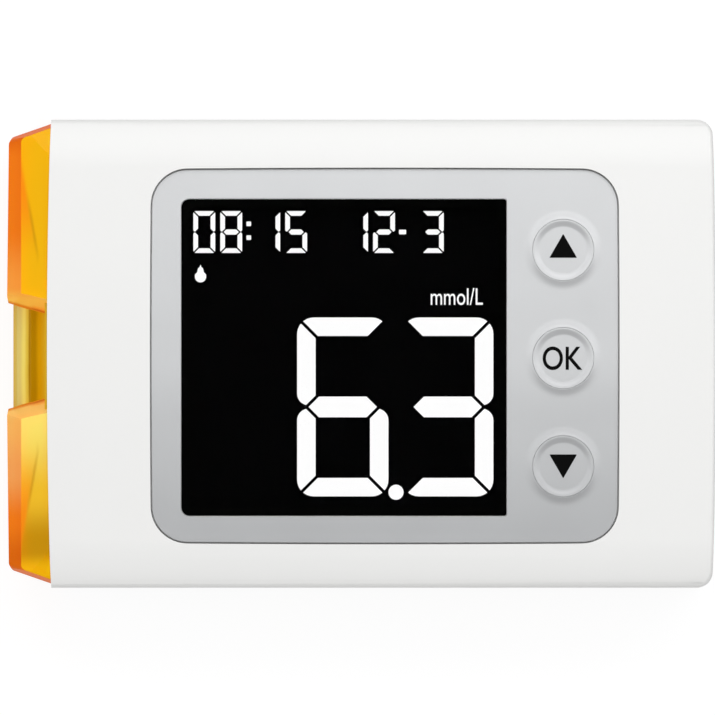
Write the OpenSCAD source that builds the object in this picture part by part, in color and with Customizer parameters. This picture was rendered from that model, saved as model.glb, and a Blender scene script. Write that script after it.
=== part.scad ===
// Hand-held meter with a wide lit display, three keys, an amber strip end and a sliding battery door.
// It lies on its back: X runs along the case away from the strip end, Y across it, Z out of the display.
// The origin is the middle of the underside.

/* [Case] */
// Overall length, from the amber end to the flat end
case_l = 94; // [88:0.5:110]
// Overall width
case_w = 62; // [60:0.5:76]
// Overall height
case_h = 21; // [20.8:0.1:26]
// Side and end wall of the two shells
wall = 1.8; // [1.2:0.1:2.2]
// Height of the joint between the shells
part_z = 10; // [8:0.5:13]
// Radius of the crown that rolls down to each long edge
crown_r = 12; // [6:0.5:16]
// Angle that the crown turns before the edge round
crown_angle = 28; // [15:1:40]
// Small round between the crown and the side
edge_r = 1.2; // [0.6:0.1:2]
// Round between the side and the underside
rear_r = 5; // [3:0.5:5.5]
// Corner round of the flat end, seen from above
corner_r = 2; // [1:0.1:4]
// How far the middle of the flat end stands out
end_bow = 0.45; // [0.1:0.05:1]
// Height of the lip that locates the front shell on the rear shell
lip_h = 1.2; // [0.8:0.1:2]
// Thickness of that lip
lip_t = 0.8; // [0.6:0.1:1.2]
// Clearance between parts that slide together when the case is closed
fit_gap = 0.1; // [0.05:0.05:0.2]

/* [End cap] */
// Length of the amber end beyond the white shells
cap_l = 5.55; // [4.5:0.05:8]
// How far the joint between amber and white bows
cap_bow = 0.5; // [0.1:0.05:1]
// Length of the sloping nose of each block
cap_nose = 2.1; // [1:0.1:3]
// Drop of the front face from the shell to the nose
cap_drop = 1.1; // [0.4:0.1:2]
// Height of the upright strip at the tip of the nose
cap_tip = 8.5; // [6:0.5:11]
// Narrowing of each outer side towards the tip
cap_taper = 2.4; // [1:0.1:4]
// Wall of the amber moulding
cap_wall = 1.6; // [1:0.1:2]
// Width of the finger gap where it meets the shell
gap_w = 10.7; // [9.5:0.1:16]
// Extra width of the finger gap at the tip
gap_flare = 3.2; // [1:0.1:5]
// Depth of the locating frame inside the shells
cap_tongue = 3; // [2:0.1:5]

/* [Strip port] */
// Reach of the lower lip beyond the white shells
lip_reach = 4.3; // [3:0.1:5]
// Reach of the upper lip beyond the white shells
upper_reach = 1.7; // [1:0.1:2.5]
// Thickness of the upper lip above the slot
upper_t = 2.2; // [1.2:0.1:3]
// Width of the strip slot
slot_w = 7.2; // [6:0.1:8]
// Height of the strip slot
slot_h = 1.1; // [0.8:0.1:1.6]
// Height of the slot's middle above the underside
slot_z = 11.4; // [11:0.1:12]

/* [Front panel] */
// Distance from the amber end's tip to the panel
band_amber = 19.35; // [15:0.05:22]
// Distance from the flat end to the panel
band_flat = 12.95; // [8:0.05:15]
// Distance from the upper side of the case to the panel
band_upper = 6.6; // [5:0.1:9]
// Distance from the lower side of the case to the panel
band_lower = 6; // [5:0.1:9]
// Corner round of the silver panel
panel_r = 4.6; // [2:0.1:6]
// Thickness of the panel
panel_t = 0.9; // [0.6:0.1:1]
// Depth of the panel below the crown of the case
panel_step = 0.5; // [0.3:0.05:0.8]
// Gap round the panel
panel_gap = 0.2; // [0.1:0.05:0.4]

/* [Display] */
// Silver margin between the panel's edge and the black window, at the amber end
margin_amber = 3.9; // [2:0.1:6]
// Silver margin above the window
margin_upper = 3.9; // [2:0.1:6]
// Silver margin below the window
margin_lower = 3.5; // [2:0.1:6]
// Distance from the window to the middle of the keys
margin_keys = 7.45; // [6.5:0.05:9]
// Corner round of the window
window_r = 0.8; // [0.3:0.1:2]
// Ledge that carries the window all round
ledge_w = 0.9; // [0.5:0.1:1.2]
// Thickness of the ledge under the panel and window
ledge_t = 1; // [0.8:0.1:1.4]
// Thickness of the display glass, both plates
glass_t = 1.7; // [1.2:0.1:2]
// Thickness of the light guide behind the display glass
guide_t = 1.6; // [1:0.1:1.8]
// Thickness of the foam gasket on the display glass
gasket_t = 0.4; // [0.3:0.1:0.8]
// Wall of the black holder round the display glass
holder_wall = 0.7; // [0.5:0.1:0.8]
// Thickness of a lit segment
lit_t = 0.06; // [0.04:0.01:0.1]

/* [Figures] */
// Height of the large figures
big_h = 23.7; // [20:0.1:26]
// Width of the large figures
big_w = 12.1; // [10:0.1:13]
// Width of a large segment
big_bar = 2.45; // [1.5:0.05:3]
// Step from one large figure to the next
big_pitch = 13.9; // [13:0.1:15]
// Height of the small figures
small_h = 5.55; // [4.5:0.05:6.5]
// Width of the small figures
small_w = 2.9; // [2.4:0.05:3.2]
// Width of a small segment
small_bar = 0.62; // [0.4:0.02:0.8]
// Step from one small figure to the next
small_pitch = 3.57; // [3.4:0.01:4]
// Diameter of the decimal point
point_d = 2; // [1.2:0.1:2.4]
// Room between the large figures and the window's right edge
big_margin_x = 1.7; // [1:0.1:3]
// Room between the large figures and the window's lower edge
big_margin_y = 2.55; // [1:0.05:4]
// Room between the small figures and the window's upper and left edges
row_margin = 1.55; // [1:0.05:2]

/* [Keys] */
// Diameter of a key cap
key_d = 8.1; // [6.5:0.1:9]
// Step from one key to the next
key_pitch = 14.3; // [13:0.1:16]
// Distance from the middle of the keys to the panel's edge at the flat end
key_inset = 7.25; // [6:0.05:9]
// Offset of the middle key from the middle of the panel
key_shift = -0.3; // [-1:0.1:1]
// Travel of a key
key_travel = 0.8; // [0.4:0.05:0.9]
// Clearance between a key and its collar, all round
key_gap = 0.1; // [0.05:0.01:0.15]
// Depth of the dish in a key
dish_depth = 0.45; // [0.2:0.05:0.6]
// Foot diameter of the collar round a key
collar_d = 10.4; // [9.6:0.1:12]
// Width of the collar's crest
collar_crest = 0.25; // [0.15:0.05:0.4]
// Width of the flange that keeps a key in
flange_w = 0.8; // [0.5:0.1:1]
// Thickness of that flange
flange_t = 0.8; // [0.5:0.1:1]
// Thickness of the silicone mat
mat_t = 0.6; // [0.4:0.1:0.8]
// Thickness of a silicone dome where it meets the key
dome_t = 0.5; // [0.4:0.1:0.6]
// Diameter of a carbon pill
pill_d = 3.2; // [2:0.1:4]
// Thickness of a carbon pill
pill_t = 0.4; // [0.2:0.1:0.4]

/* [Board] */
// Thickness of the circuit board
board_t = 1; // [0.8:0.1:1.2]
// Gap between the board's edge and the case walls
board_gap = 0.9; // [0.5:0.1:1.5]
// Width of the data socket
socket_w = 7.6; // [7:0.1:8]
// Height of the data socket
socket_h = 2.6; // [2.3:0.1:2.8]
// Length of the data socket
socket_l = 5.4; // [5:0.1:7]
// Sheet thickness of the data socket's shell
socket_t = 0.3; // [0.2:0.05:0.4]

/* [Batteries] */
// Diameter of a cell
cell_d = 10.5; // [10:0.1:10.5]
// Length of a cell, with its cap
cell_l = 44.5; // [43:0.5:45]
// Clearance round each cell
cell_gap = 0.25; // [0.15:0.05:0.4]
// Wall of the battery tray
tray_wall = 0.8; // [0.6:0.1:1.2]
// Room at each end of the cells for the contacts
contact_room = 1.9; // [1.5:0.1:2.2]
// Sheet thickness of the contacts
contact_t = 0.4; // [0.3:0.05:0.5]
// Wire of the contact springs
spring_wire = 0.5; // [0.4:0.05:0.7]
// Turns of a contact spring
spring_turns = 3; // [2:1:4]

/* [Battery door] */
// Thickness of the door
door_t = 1.5; // [1.2:0.1:1.8]
// Height of the door's face above the surface the meter lies on
door_lift = 0.2; // [0.1:0.05:0.4]
// Clearance round the door
door_gap = 0.2; // [0.15:0.05:0.3]
// Width of the tongue along each side of the door
tongue_w = 0.8; // [0.5:0.1:1]
// Thickness of that tongue
tongue_t = 0.6; // [0.4:0.1:0.7]
// Travel of the door before it comes free
door_travel = 30; // [10:1:32]
// Number of grip ribs on the door
grip_n = 6; // [3:1:8]
// Length of a grip rib
grip_l = 14; // [8:1:20]

/* [Screws] */
// Diameter of a case screw's shank
screw_d = 2; // [1.6:0.1:2.3]
// Diameter of a case screw's head
screw_head_d = 3.8; // [3:0.1:4]
// Height of a case screw's head
screw_head_h = 1.4; // [1:0.1:1.8]
// Depth from the underside to the seat of the head
screw_seat = 5; // [3:0.5:7]
// Outer diameter of the screw posts in the rear case
post_d = 6; // [5.6:0.1:6.2]
// Distance from the joint with the amber end to the first screws
screw_amber = 6.5; // [6:0.1:12]
// Distance from the battery tray to the other screws
screw_tray = 6; // [4:0.1:12]
// Room between the side walls and the screw posts
screw_side = 1.2; // [0.6:0.1:1.6]

/* [Hidden] */

arc_steps = 6;
crown_steps = 4;
edge_steps = 3;
rear_steps = 5;
corner_steps = 4;
bow_steps = 4;
round_fn = 64;
small_fn = 32;
over = 1;

// Figures of the reading, and of the row above it with their steps along the row.
READING = [6, 3];
TOP_ROW = [[0, 0], [8, 1], [1, 2.41], [5, 3.41], [1, 5.67], [2, 6.67], [3, 8.48]];
COLON_STEP = 1.97;
COLON_RISE = [0.31, 0.64];
DASH_STEP = 7.63;
dash_l = 0.95;
point_rise = 0.6;

// Small parts of the board.
processor_w = 10;
processor_pins = 12;
small_chip_l = 5;
small_chip_w = 4;
small_chip_pins = 4;
chip_t = 1;
pin_lift = 0.1;
pin_reach = 0.9;
small_count = 8;
small_step = 2.6;
small_len = 1.6;
small_t = 0.6;
crystal_l = 3.2;
crystal_t = 0.8;
buzzer_d = 9;
buzzer_h = 2.2;
strip_w = 1.8;
strip_side = 1.2;
strip_depth = 10;
leaf_n = 5;
leaf_l = 6;
leaf_w = 0.6;
leaf_t = 0.2;
lamp_l = 1.6;
lamp_w = 0.9;
lamp_t = 0.6;
mat_rim = 1;
dome_web = 0.4;

// Details of the keys, cells, door and end cap.
crown_gap = 0.05;
dish_flank = 0.8;
cell_cap_d = 3.8;
cell_cap_h = 0.8;
grip_step = 1.6;
grip_inset = 4;
grip_depth = 0.35;
lip_chamfer = 0.6;
lip_rake = 0.3;
tip_cut = 0.35;

half_l = case_l / 2;
half_w = case_w / 2;
joint_x = -half_l + cap_l;

// Heights from the underside up to the board.
door_z = door_lift;
door_top = door_z + door_t;
cell_r = cell_d / 2;
cell_z = door_top + cell_gap + cell_r;
tray_z = cell_z + cell_r + cell_gap;
board_z = tray_z + tray_wall + fit_gap;
board_top = board_z + board_t;

// Heights from the crown down to the display glass.
panel_z = case_h - panel_step;
ledge_z = panel_z - panel_t;
inner_top = ledge_z - ledge_t;
glass_z = inner_top - gasket_t - glass_t;

panel_x0 = -half_l + band_amber;
panel_x1 = half_l - band_flat;
panel_y0 = -half_w + band_lower;
panel_y1 = half_w - band_upper;
panel_l = panel_x1 - panel_x0;
panel_w = panel_y1 - panel_y0;
panel_x = (panel_x0 + panel_x1) / 2;
panel_y = (panel_y0 + panel_y1) / 2;
key_x = panel_x1 - key_inset;
key_y = panel_y + key_shift;
window_l = key_x - margin_keys - panel_x0 - margin_amber;
window_w = panel_w - margin_lower - margin_upper;
window_x = panel_x0 + margin_amber + window_l / 2;
window_y = panel_y0 + margin_lower + window_w / 2;

end_inner = half_l - end_bow - wall;
tray_x1 = end_inner - tray_wall - fit_gap;
tray_x0 = tray_x1 - 2 * cell_d - 4 * cell_gap;
cell_x = [tray_x0 + cell_gap + cell_r, tray_x1 - cell_gap - cell_r];
tray_y = cell_l / 2 + contact_room;
door_y = tray_y + door_gap;
door_x0 = tray_x0 - tray_wall - 2 * door_gap;

key_names_y = [key_y + key_pitch, key_y, key_y - key_pitch];
key_bottom = board_top + key_travel + mat_t + dome_t;
flange_top = inner_top - 2 * fit_gap;
hole_d = key_d + 2 * key_gap;
flange_d = key_d + 2 * flange_w;

glass_l = window_l - 2 * fit_gap - ledge_w / 2;
glass_w = window_w - 2 * fit_gap - ledge_w / 2;
view_l = window_l - 2 * ledge_w;
view_w = window_w - 2 * ledge_w;

board_x0 = joint_x + cap_bow + cap_tongue + 2 * fit_gap;
board_x1 = end_inner - board_gap;
processor_x = (board_x0 + tray_x0) / 2 - processor_w * 0.4;
processor_y = processor_w * 0.4;
screw_x = [joint_x + screw_amber, tray_x0 - tray_wall - screw_tray];
screw_y = half_w - wall - screw_side - post_d / 2;
SCREWS = [for (x = screw_x, side = [-1, 1]) [x, side * screw_y]];

// Points along an arc, from angle a0 to a1.
function arc(cx, cy, r, a0, a1, n = arc_steps) =
    [for (i = [0 : n]) let (a = a0 + (a1 - a0) * i / n) [cx + r * cos(a), cy + r * sin(a)]];

// Points of a bowed end at x, from y0 to y1, standing out by bow at the middle.
function bowed(x, bow, y0, y1, half) =
    [for (i = [0 : bow_steps]) let (y = y0 + (y1 - y0) * i / bow_steps) [x - bow * pow(y / half, 2), y]];

// One side of the shells' cross-section, all faces moved in by inset. A face moved in by more than the
// edge round meets the side in a sharp corner.
function section_side(inset) = let (
    blend = crown_r - edge_r,
    cy = half_w - edge_r - blend * sin(crown_angle),
    cz = case_h - crown_r,
    sy = half_w - inset,
    sharp = inset > edge_r / 2,
    turn = sharp ? asin((sy - cy) / (crown_r - inset)) : crown_angle)
    concat(
        arc(cy, cz, crown_r - inset, 90, 90 - turn, crown_steps),
        sharp ? [] : arc(half_w - edge_r, cz + blend * cos(turn), edge_r - inset, 90 - turn, 0, edge_steps),
        arc(half_w - rear_r, rear_r, rear_r - inset, 0, -90, rear_steps));

function mirrored(points) = [for (i = [len(points) - 1 : -1 : 0]) [-points[i][0], points[i][1]]];

// Solid of the shells' cross-section along X.
module section(inset, x0, x1) {
    side = section_side(inset);
    translate([x0, 0, 0])
        rotate([90, 0, 90])
            linear_extrude(height = x1 - x0) polygon(concat(side, mirrored(side)));
}

// Outline of the white shells from above, moved in by inset at the flat end and by back at the amber end.
module shell_outline(inset, back) {
    r = max(corner_r - inset, 0.3);
    y = half_w - inset;
    x = half_l - inset;
    xc = x - end_bow - r;
    polygon(concat(
        arc(xc, -(y - r), r, -90, -15, corner_steps),
        bowed(x, end_bow, -(y - r) + r / 2, y - r - r / 2, half_w),
        arc(xc, y - r, r, 15, 90, corner_steps),
        [for (i = [0 : bow_steps]) let (v = half_w - case_w * i / bow_steps)
            [joint_x + back + cap_bow * pow(v / half_w, 2), v]]));
}

// The closed outer form of the two shells.
module shell_form(inset = 0, back = 0) {
    intersection() {
        section(inset, -half_l - over, half_l + over);
        translate([0, 0, -over]) linear_extrude(height = case_h + 2 * over) shell_outline(inset, back);
    }
}

// Room inside the shells, open towards the amber end.
module shell_room() {
    intersection() {
        section(wall, -half_l - over, half_l + over);
        translate([0, 0, wall]) linear_extrude(height = inner_top - wall) shell_outline(wall, -cap_l);
    }
}

module rounded_plate(l, w, r, t) {
    x = l / 2 - r;
    y = w / 2 - r;
    linear_extrude(height = t)
        polygon(concat(arc(x, y, r, 0, 90), arc(-x, y, r, 90, 180), arc(-x, -y, r, 180, 270),
            arc(x, -y, r, 270, 360)));
}

module box_between(low, high) {
    translate(low) cube([high[0] - low[0], high[1] - low[1], high[2] - low[2]]);
}

module rod(d, z0, z1) {
    translate([0, 0, z0]) cylinder(d = d, h = z1 - z0, $fn = round_fn);
}

module at_keys() {
    for (y = key_names_y) translate([key_x, y, 0]) children();
}

module at_screws() {
    for (p = SCREWS) translate([p[0], p[1], 0]) children();
}

// Opening for the data socket through the flat end.
module socket_cut(gap) {
    box_between(
        [half_l - end_bow - wall - over, -socket_w / 2 - gap, board_top - fit_gap],
        [half_l + over, socket_w / 2 + gap, board_top + socket_h + gap]);
}

module front_case() {
    color("white") {
        difference() {
            shell_form();
            shell_room();
            box_between([-half_l - over, -half_w - over, -over], [half_l + over, half_w + over, part_z]);
            translate([panel_x, panel_y, ledge_z])
                rounded_plate(panel_l + 2 * panel_gap, panel_w + 2 * panel_gap, panel_r + panel_gap, case_h);
            translate([window_x, window_y, inner_top - over])
                rounded_plate(view_l, view_w, window_r, case_h);
            at_keys() rod(hole_d + 2 * key_gap, inner_top - over, case_h + over);
            socket_cut(2 * fit_gap);
        }
        at_screws() difference() {
            rod(post_d - 2 * fit_gap, board_top, inner_top + fit_gap);
            rod(screw_d + 2 * fit_gap, board_top - over, inner_top - 2 * fit_gap);
        }
    }
}

// Ring inside the joint of the shells that keeps them in line.
module locating_lip() {
    intersection() {
        difference() {
            shell_form(wall + fit_gap, cap_tongue + cap_bow + 2 * fit_gap);
            shell_form(wall + fit_gap + lip_t, -cap_l);
        }
        box_between([-half_l, -half_w, part_z - over], [half_l, half_w, part_z + lip_h]);
    }
    intersection() {
        difference() {
            shell_form(wall - fit_gap, cap_tongue + cap_bow + 2 * fit_gap);
            shell_form(wall + fit_gap + lip_t, -cap_l);
        }
        box_between([-half_l, -half_w, part_z - 2 * over], [half_l, half_w, part_z - over]);
    }
}

// Room that the door and its tongues slide in, open at the flat end.
module door_room() {
    box_between([door_x0, -door_y - door_gap, -over], [half_l + over, door_y + door_gap, door_top + door_gap]);
    box_between(
        [door_x0, -door_y - tongue_w - 2 * door_gap, door_top - tongue_t - door_gap],
        [half_l + over, door_y + tongue_w + 2 * door_gap, door_top + door_gap]);
}

module rear_case() {
    color("white") difference() {
        union() {
            difference() {
                shell_form();
                shell_room();
                box_between(
                    [-half_l - over, -half_w - over, part_z], [half_l + over, half_w + over, case_h + over]);
            }
            locating_lip();
            at_screws() rod(post_d, wall - fit_gap, board_z);
            box_between(
                [tray_x0 - tray_wall, -tray_y - tray_wall, wall - fit_gap],
                [tray_x1 + tray_wall, tray_y + tray_wall, tray_z + tray_wall]);
        }
        box_between([tray_x0, -tray_y, -over], [tray_x1, tray_y, tray_z]);
        door_room();
        at_screws() {
            rod(screw_head_d + 4 * fit_gap, -over, screw_seat);
            rod(screw_d + 2 * fit_gap, -over, board_z + over);
        }
    }
}

// Outline of one amber block from above; side is 1 for the upper block and -1 for the lower.
module block_outline(side, inset) {
    x0 = joint_x + cap_bow + cap_tongue / 2;
    tip = -half_l + inset;
    foot = joint_x + cap_bow;
    outer = half_w - 2 * fit_gap - inset;
    inner0 = gap_w / 2 + inset;
    inner1 = (gap_w + gap_flare) / 2 + inset;
    points = [
        [x0, inner0], [foot, inner0], [tip, inner1], [tip + tip_cut, outer - cap_taper - 3 * tip_cut],
        [tip + 2 * tip_cut, outer - cap_taper], [foot, outer], [x0, outer]];
    polygon([for (p = points) [p[0], side * p[1]]]);
}

// Side view of the amber end, all faces moved in by inset.
module cap_side(inset, x1) {
    top = case_h - fit_gap - inset;
    low = fit_gap + inset;
    nose = -half_l + cap_nose;
    mid = case_h / 2;
    rotate([90, 0, 0])
        linear_extrude(height = case_w + 2 * over, center = true)
            polygon([
                [x1, low], [joint_x + cap_bow, low], [nose, low + cap_drop],
                [-half_l + inset, mid - cap_tip / 2], [-half_l + inset, mid + cap_tip / 2],
                [nose, top - cap_drop], [joint_x + cap_bow, top], [x1, top]]);
}

module amber_block(side, inset, x1) {
    intersection() {
        linear_extrude(height = case_h) block_outline(side, inset);
        cap_side(inset, x1);
        section(inset + fit_gap, -half_l - over, x1);
    }
}

// Lower and upper lip round the strip slot, from the side.
module port_lips() {
    y = (gap_w + gap_flare) / 2;
    top = slot_z + slot_h / 2 + upper_t;
    low = joint_x - lip_reach;
    high = joint_x - upper_reach;
    slot_low = slot_z - slot_h / 2;
    slot_high = slot_z + slot_h / 2;
    rotate([90, 0, 0])
        linear_extrude(height = 2 * y, center = true)
            polygon([
                [joint_x + cap_bow, cap_wall], [low + lip_chamfer * 2, cap_wall + lip_chamfer],
                [low, case_h / 3], [low, slot_low - lip_chamfer], [low + lip_chamfer, slot_low],
                [high, slot_low], [high, slot_high], [high - lip_rake, slot_high], [high, top],
                [joint_x + cap_bow, top]]);
}

// Room inside the shells with the fitting clearance taken off, all faces moved in by inset.
module clear_room(inset) {
    intersection() {
        shell_form(wall + fit_gap + inset, -cap_l - over);
        box_between(
            [-half_l - 2 * over, -half_w, wall + fit_gap + inset],
            [half_l, half_w, inner_top - fit_gap - inset]);
    }
}

// Frame of the amber end that sits inside the shells.
module cap_frame() {
    difference() {
        clear_room(0);
        clear_room(cap_wall);
        box_between([joint_x + cap_bow + cap_tongue, -half_w, -over], [half_l + over, half_w, case_h + over]);
        box_between([-half_l - 2 * over, -half_w, -over], [joint_x - fit_gap, half_w, case_h + over]);
    }
}

module end_cap() {
    color("orange") difference() {
        union() {
            for (side = [-1, 1]) difference() {
                amber_block(side, 0, joint_x + cap_bow + 1);
                amber_block(side, cap_wall, joint_x + cap_bow + 2 * over);
            }
            port_lips();
            box_between(
                [joint_x, -gap_w / 2 - fit_gap, wall + fit_gap],
                [joint_x + cap_wall, gap_w / 2 + fit_gap, inner_top - fit_gap]);
        }
        difference() {
            shell_form(0, -fit_gap);
            clear_room(0);
        }
        box_between([-half_l - over, -slot_w / 2, slot_z - slot_h / 2], [half_l, slot_w / 2, slot_z + slot_h / 2]);
    }
    color("orange") cap_frame();
}

// Ring that rises from the panel round a key, flush inside and easing out to the panel.
module collar() {
    rise = panel_step;
    inner = hole_d / 2;
    crest = inner + collar_crest;
    foot = collar_d / 2;
    rotate_extrude($fn = round_fn)
        polygon(concat(
            [[inner, ledge_z], [inner, panel_z + rise - collar_crest / 2],
                [inner + collar_crest / 2, panel_z + rise]],
            [for (i = [0 : arc_steps]) let (t = i / arc_steps)
                [crest + (foot - crest) * t, panel_z + rise * pow(1 - t, 2)]],
            [[foot, ledge_z]]));
}

module front_panel() {
    color("silver") {
        difference() {
            translate([panel_x, panel_y, ledge_z]) rounded_plate(panel_l, panel_w, panel_r, panel_t);
            translate([window_x, window_y, ledge_z - over])
                rounded_plate(window_l, window_w, window_r, panel_t + 2 * over);
            at_keys() rod(collar_d - 2 * collar_crest, ledge_z - over, case_h);
        }
        at_keys() collar();
    }
}

module display_window() {
    color([0.1, 0.1, 0.1, 0.5])
        translate([window_x, window_y, ledge_z])
            rounded_plate(window_l - fit_gap, window_w - fit_gap, window_r, panel_t - fit_gap / 2);
}

module display_plate(grow, r, z, t) {
    translate([window_x, window_y, z]) rounded_plate(glass_l + 2 * grow, glass_w + 2 * grow, r, t);
}

module display_gasket() {
    color("dimgray") difference() {
        display_plate(0, window_r, inner_top - gasket_t, gasket_t);
        translate([window_x, window_y, inner_top - gasket_t - over])
            rounded_plate(view_l + fit_gap, view_w + fit_gap, window_r, gasket_t + 2 * over);
    }
}

module display_glass() {
    color([0.08, 0.08, 0.1]) display_plate(0, window_r, glass_z, glass_t);
}

module display_holder() {
    color("black") difference() {
        display_plate(fit_gap + holder_wall, window_r, board_top, inner_top - gasket_t - board_top);
        display_plate(fit_gap, window_r, board_top - over, case_h);
    }
}

module light_guide() {
    color("whitesmoke")
        translate([window_x, window_y, glass_z - guide_t])
            rounded_plate(glass_l, glass_w - 2 * strip_w - 4 * fit_gap, window_r, guide_t);
}

module contact_strips() {
    y = (glass_w - strip_w) / 2;
    color("lightpink") for (side = [-1, 1])
        translate([window_x, window_y + side * y, board_top])
            rounded_plate(glass_l - 2 * strip_w, strip_w, strip_w / 4, glass_z - board_top);
}

// One segment of a figure: a bar along X with pointed ends, from the middle of its left end.
module bar(len, w) {
    linear_extrude(height = lit_t)
        polygon([[0, 0], [w / 2, w / 2], [len - w / 2, w / 2], [len, 0], [len - w / 2, -w / 2], [w / 2, -w / 2]]);
}

// Edge segment of a figure: a bar along X whose outer side is the longer one.
module edge_bar(len, w) {
    linear_extrude(height = lit_t)
        polygon([[0, 0], [w, -w], [len - w, -w], [len, 0]]);
}

// Segments lit for each figure, in the order top, upper right, lower right, bottom, lower left,
// upper left, middle.
function lit(figure) =
    figure == 0 ? [1, 1, 1, 1, 1, 1, 0] :
    figure == 1 ? [0, 1, 1, 0, 0, 0, 0] :
    figure == 2 ? [1, 1, 0, 1, 1, 0, 1] :
    figure == 3 ? [1, 1, 1, 1, 0, 0, 1] :
    figure == 5 ? [1, 0, 1, 1, 0, 1, 1] :
    figure == 6 ? [1, 0, 1, 1, 1, 1, 1] : [1, 1, 1, 1, 1, 1, 1];

// A seven-segment figure with its lower left corner at the origin.
module figure(n, w, h, b) {
    on = lit(n);
    g = b / 10;
    half = h / 2;
    side = half - 2 * g;
    intersection() {
        union() {
            if (on[0]) translate([g, h, 0]) edge_bar(w - 2 * g, b);
            if (on[1]) translate([w, h - g, 0]) rotate([0, 0, -90]) side_bar(side, b);
            if (on[2]) translate([w, g, 0]) rotate([0, 0, 90]) mirror([0, 1, 0]) side_bar(side, b);
            if (on[3]) translate([g, 0, 0]) mirror([0, 1, 0]) edge_bar(w - 2 * g, b);
            if (on[4]) translate([0, g, 0]) rotate([0, 0, 90]) side_bar(side, b);
            if (on[5]) translate([0, h - g, 0]) rotate([0, 0, -90]) mirror([0, 1, 0]) side_bar(side, b);
            if (on[6]) translate([b / 2 + g, half, 0]) bar(w - b - 2 * g, b);
        }
        translate([w / 2, h / 2, -over]) rounded_plate(w, h, b * 0.6, lit_t + 2 * over);
    }
}

// Upright segment laid along X: mitred at the outer end and pointed at the middle end.
module side_bar(len, w) {
    linear_extrude(height = lit_t)
        polygon([[0, 0], [w, -w], [len - w / 2, -w], [len, -w / 2], [len, 0]]);
}

// Large reading with its decimal point.
module reading() {
    x = window_x + window_l / 2 - big_margin_x - big_w - big_pitch;
    y = window_y - window_w / 2 + big_margin_y;
    for (i = [0 : len(READING) - 1])
        translate([x + i * big_pitch, y, 0]) figure(READING[i], big_w, big_h, big_bar);
    translate([x + (big_pitch + big_w) / 2, y + point_rise, 0])
        cylinder(d = point_d, h = lit_t, $fn = small_fn);
}

// Clock and date along the top of the display, each figure at its step along the row.
module top_row() {
    x = window_x - window_l / 2 + row_margin;
    y = window_y + window_w / 2 - row_margin - small_h;
    for (item = TOP_ROW)
        translate([x + item[1] * small_pitch, y, 0]) figure(item[0], small_w, small_h, small_bar);
    for (t = COLON_RISE)
        translate([x + COLON_STEP * small_pitch, y + small_h * t, 0]) cube([small_bar, small_bar, lit_t]);
    translate([x + DASH_STEP * small_pitch, y + (small_h - small_bar) / 2, 0])
        cube([dash_l, small_bar, lit_t]);
}

module lit_segments() {
    color("white") translate([0, 0, glass_z + glass_t]) {
        reading();
        top_row();
    }
}

module main_board() {
    y = half_w - wall - board_gap;
    color("darkgreen") difference() {
        translate([(board_x0 + board_x1) / 2, 0, board_z])
            rounded_plate(board_x1 - board_x0, 2 * y, corner_r, board_t);
        at_screws() rod(screw_d + 2 * fit_gap, board_z - over, board_top + over);
    }
}

// A flat chip under the board at x and y, l by w, with its pins along both long sides.
module chip(x, y, l, w, pins) {
    pin = l / (2 * pins);
    translate([x, y, board_z - chip_t]) {
        translate([-l / 2, -w / 2, 0]) cube([l, w, chip_t - pin_lift]);
        for (i = [0 : pins - 1])
            translate([-l / 2 + pin / 2 + i * 2 * pin, -w / 2 - pin_reach, chip_t - 2 * pin_lift])
                cube([pin, w + 2 * pin_reach, 2 * pin_lift]);
    }
}

module processor_chip() {
    color("dimgray") chip(processor_x, processor_y, processor_w, processor_w, processor_pins);
}

module measuring_chip() {
    color("dimgray")
        chip(board_x0 + small_chip_l * 2.5, processor_y + processor_w, small_chip_l, small_chip_w, small_chip_pins);
}

module memory_chip() {
    color("dimgray")
        chip(processor_x, processor_y - processor_w * 1.4, small_chip_l, small_chip_w, small_chip_pins);
}

// Chip resistors and capacitors, in a row above and a row below the processor.
module small_components() {
    x = processor_x - small_count * small_step / 2;
    rows = [processor_y + processor_w * 1.4, processor_y - processor_w * 0.9];
    color("tan") for (y = rows, i = [0 : small_count - 1])
        translate([x + i * small_step, y, board_z - small_t]) cube([small_len, small_len / 2, small_t]);
}

module clock_crystal() {
    x = processor_x + processor_w + crystal_l;
    color("silver") translate([x, processor_y, board_z - crystal_t])
        rounded_plate(crystal_l, crystal_l / 2, crystal_l / 10, crystal_t);
}

module buzzer() {
    x = processor_x + processor_w + buzzer_d / 2;
    color("black") translate([x, processor_y - 2 * processor_w, 0]) difference() {
        rod(buzzer_d, board_z - buzzer_h, board_z);
        rod(buzzer_d / 8, board_z - buzzer_h - over, board_z - buzzer_h / 2);
    }
}

module strip_connector() {
    y = slot_w / 2 + strip_side;
    x0 = joint_x + cap_wall + fit_gap;
    low = slot_z - slot_h / 2 - strip_side;
    color("ivory") difference() {
        box_between([x0, -y, low], [x0 + strip_depth, y, board_z]);
        box_between(
            [x0 - over, -slot_w / 2, slot_z - slot_h / 2],
            [x0 + strip_depth - strip_side, slot_w / 2, slot_z + slot_h / 2]);
    }
}

// Leaf springs that press on the strip, side by side in the connector's slot.
module strip_contacts() {
    x1 = joint_x + cap_wall + fit_gap + strip_depth - strip_side;
    step = slot_w / (leaf_n + 1);
    color("gold") for (i = [1 : leaf_n])
        translate([x1 - leaf_l, -slot_w / 2 + i * step - leaf_w / 2, slot_z + slot_h / 2 - leaf_t])
            cube([leaf_l, leaf_w, leaf_t]);
}

module strip_lamp() {
    x = board_x0 + lamp_l;
    color("white") for (side = [-1, 1])
        translate([x, side * (gap_w / 2 + 2 * lamp_l), board_top])
            rounded_plate(lamp_l, lamp_w, lamp_w / 5, lamp_t);
}

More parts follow.
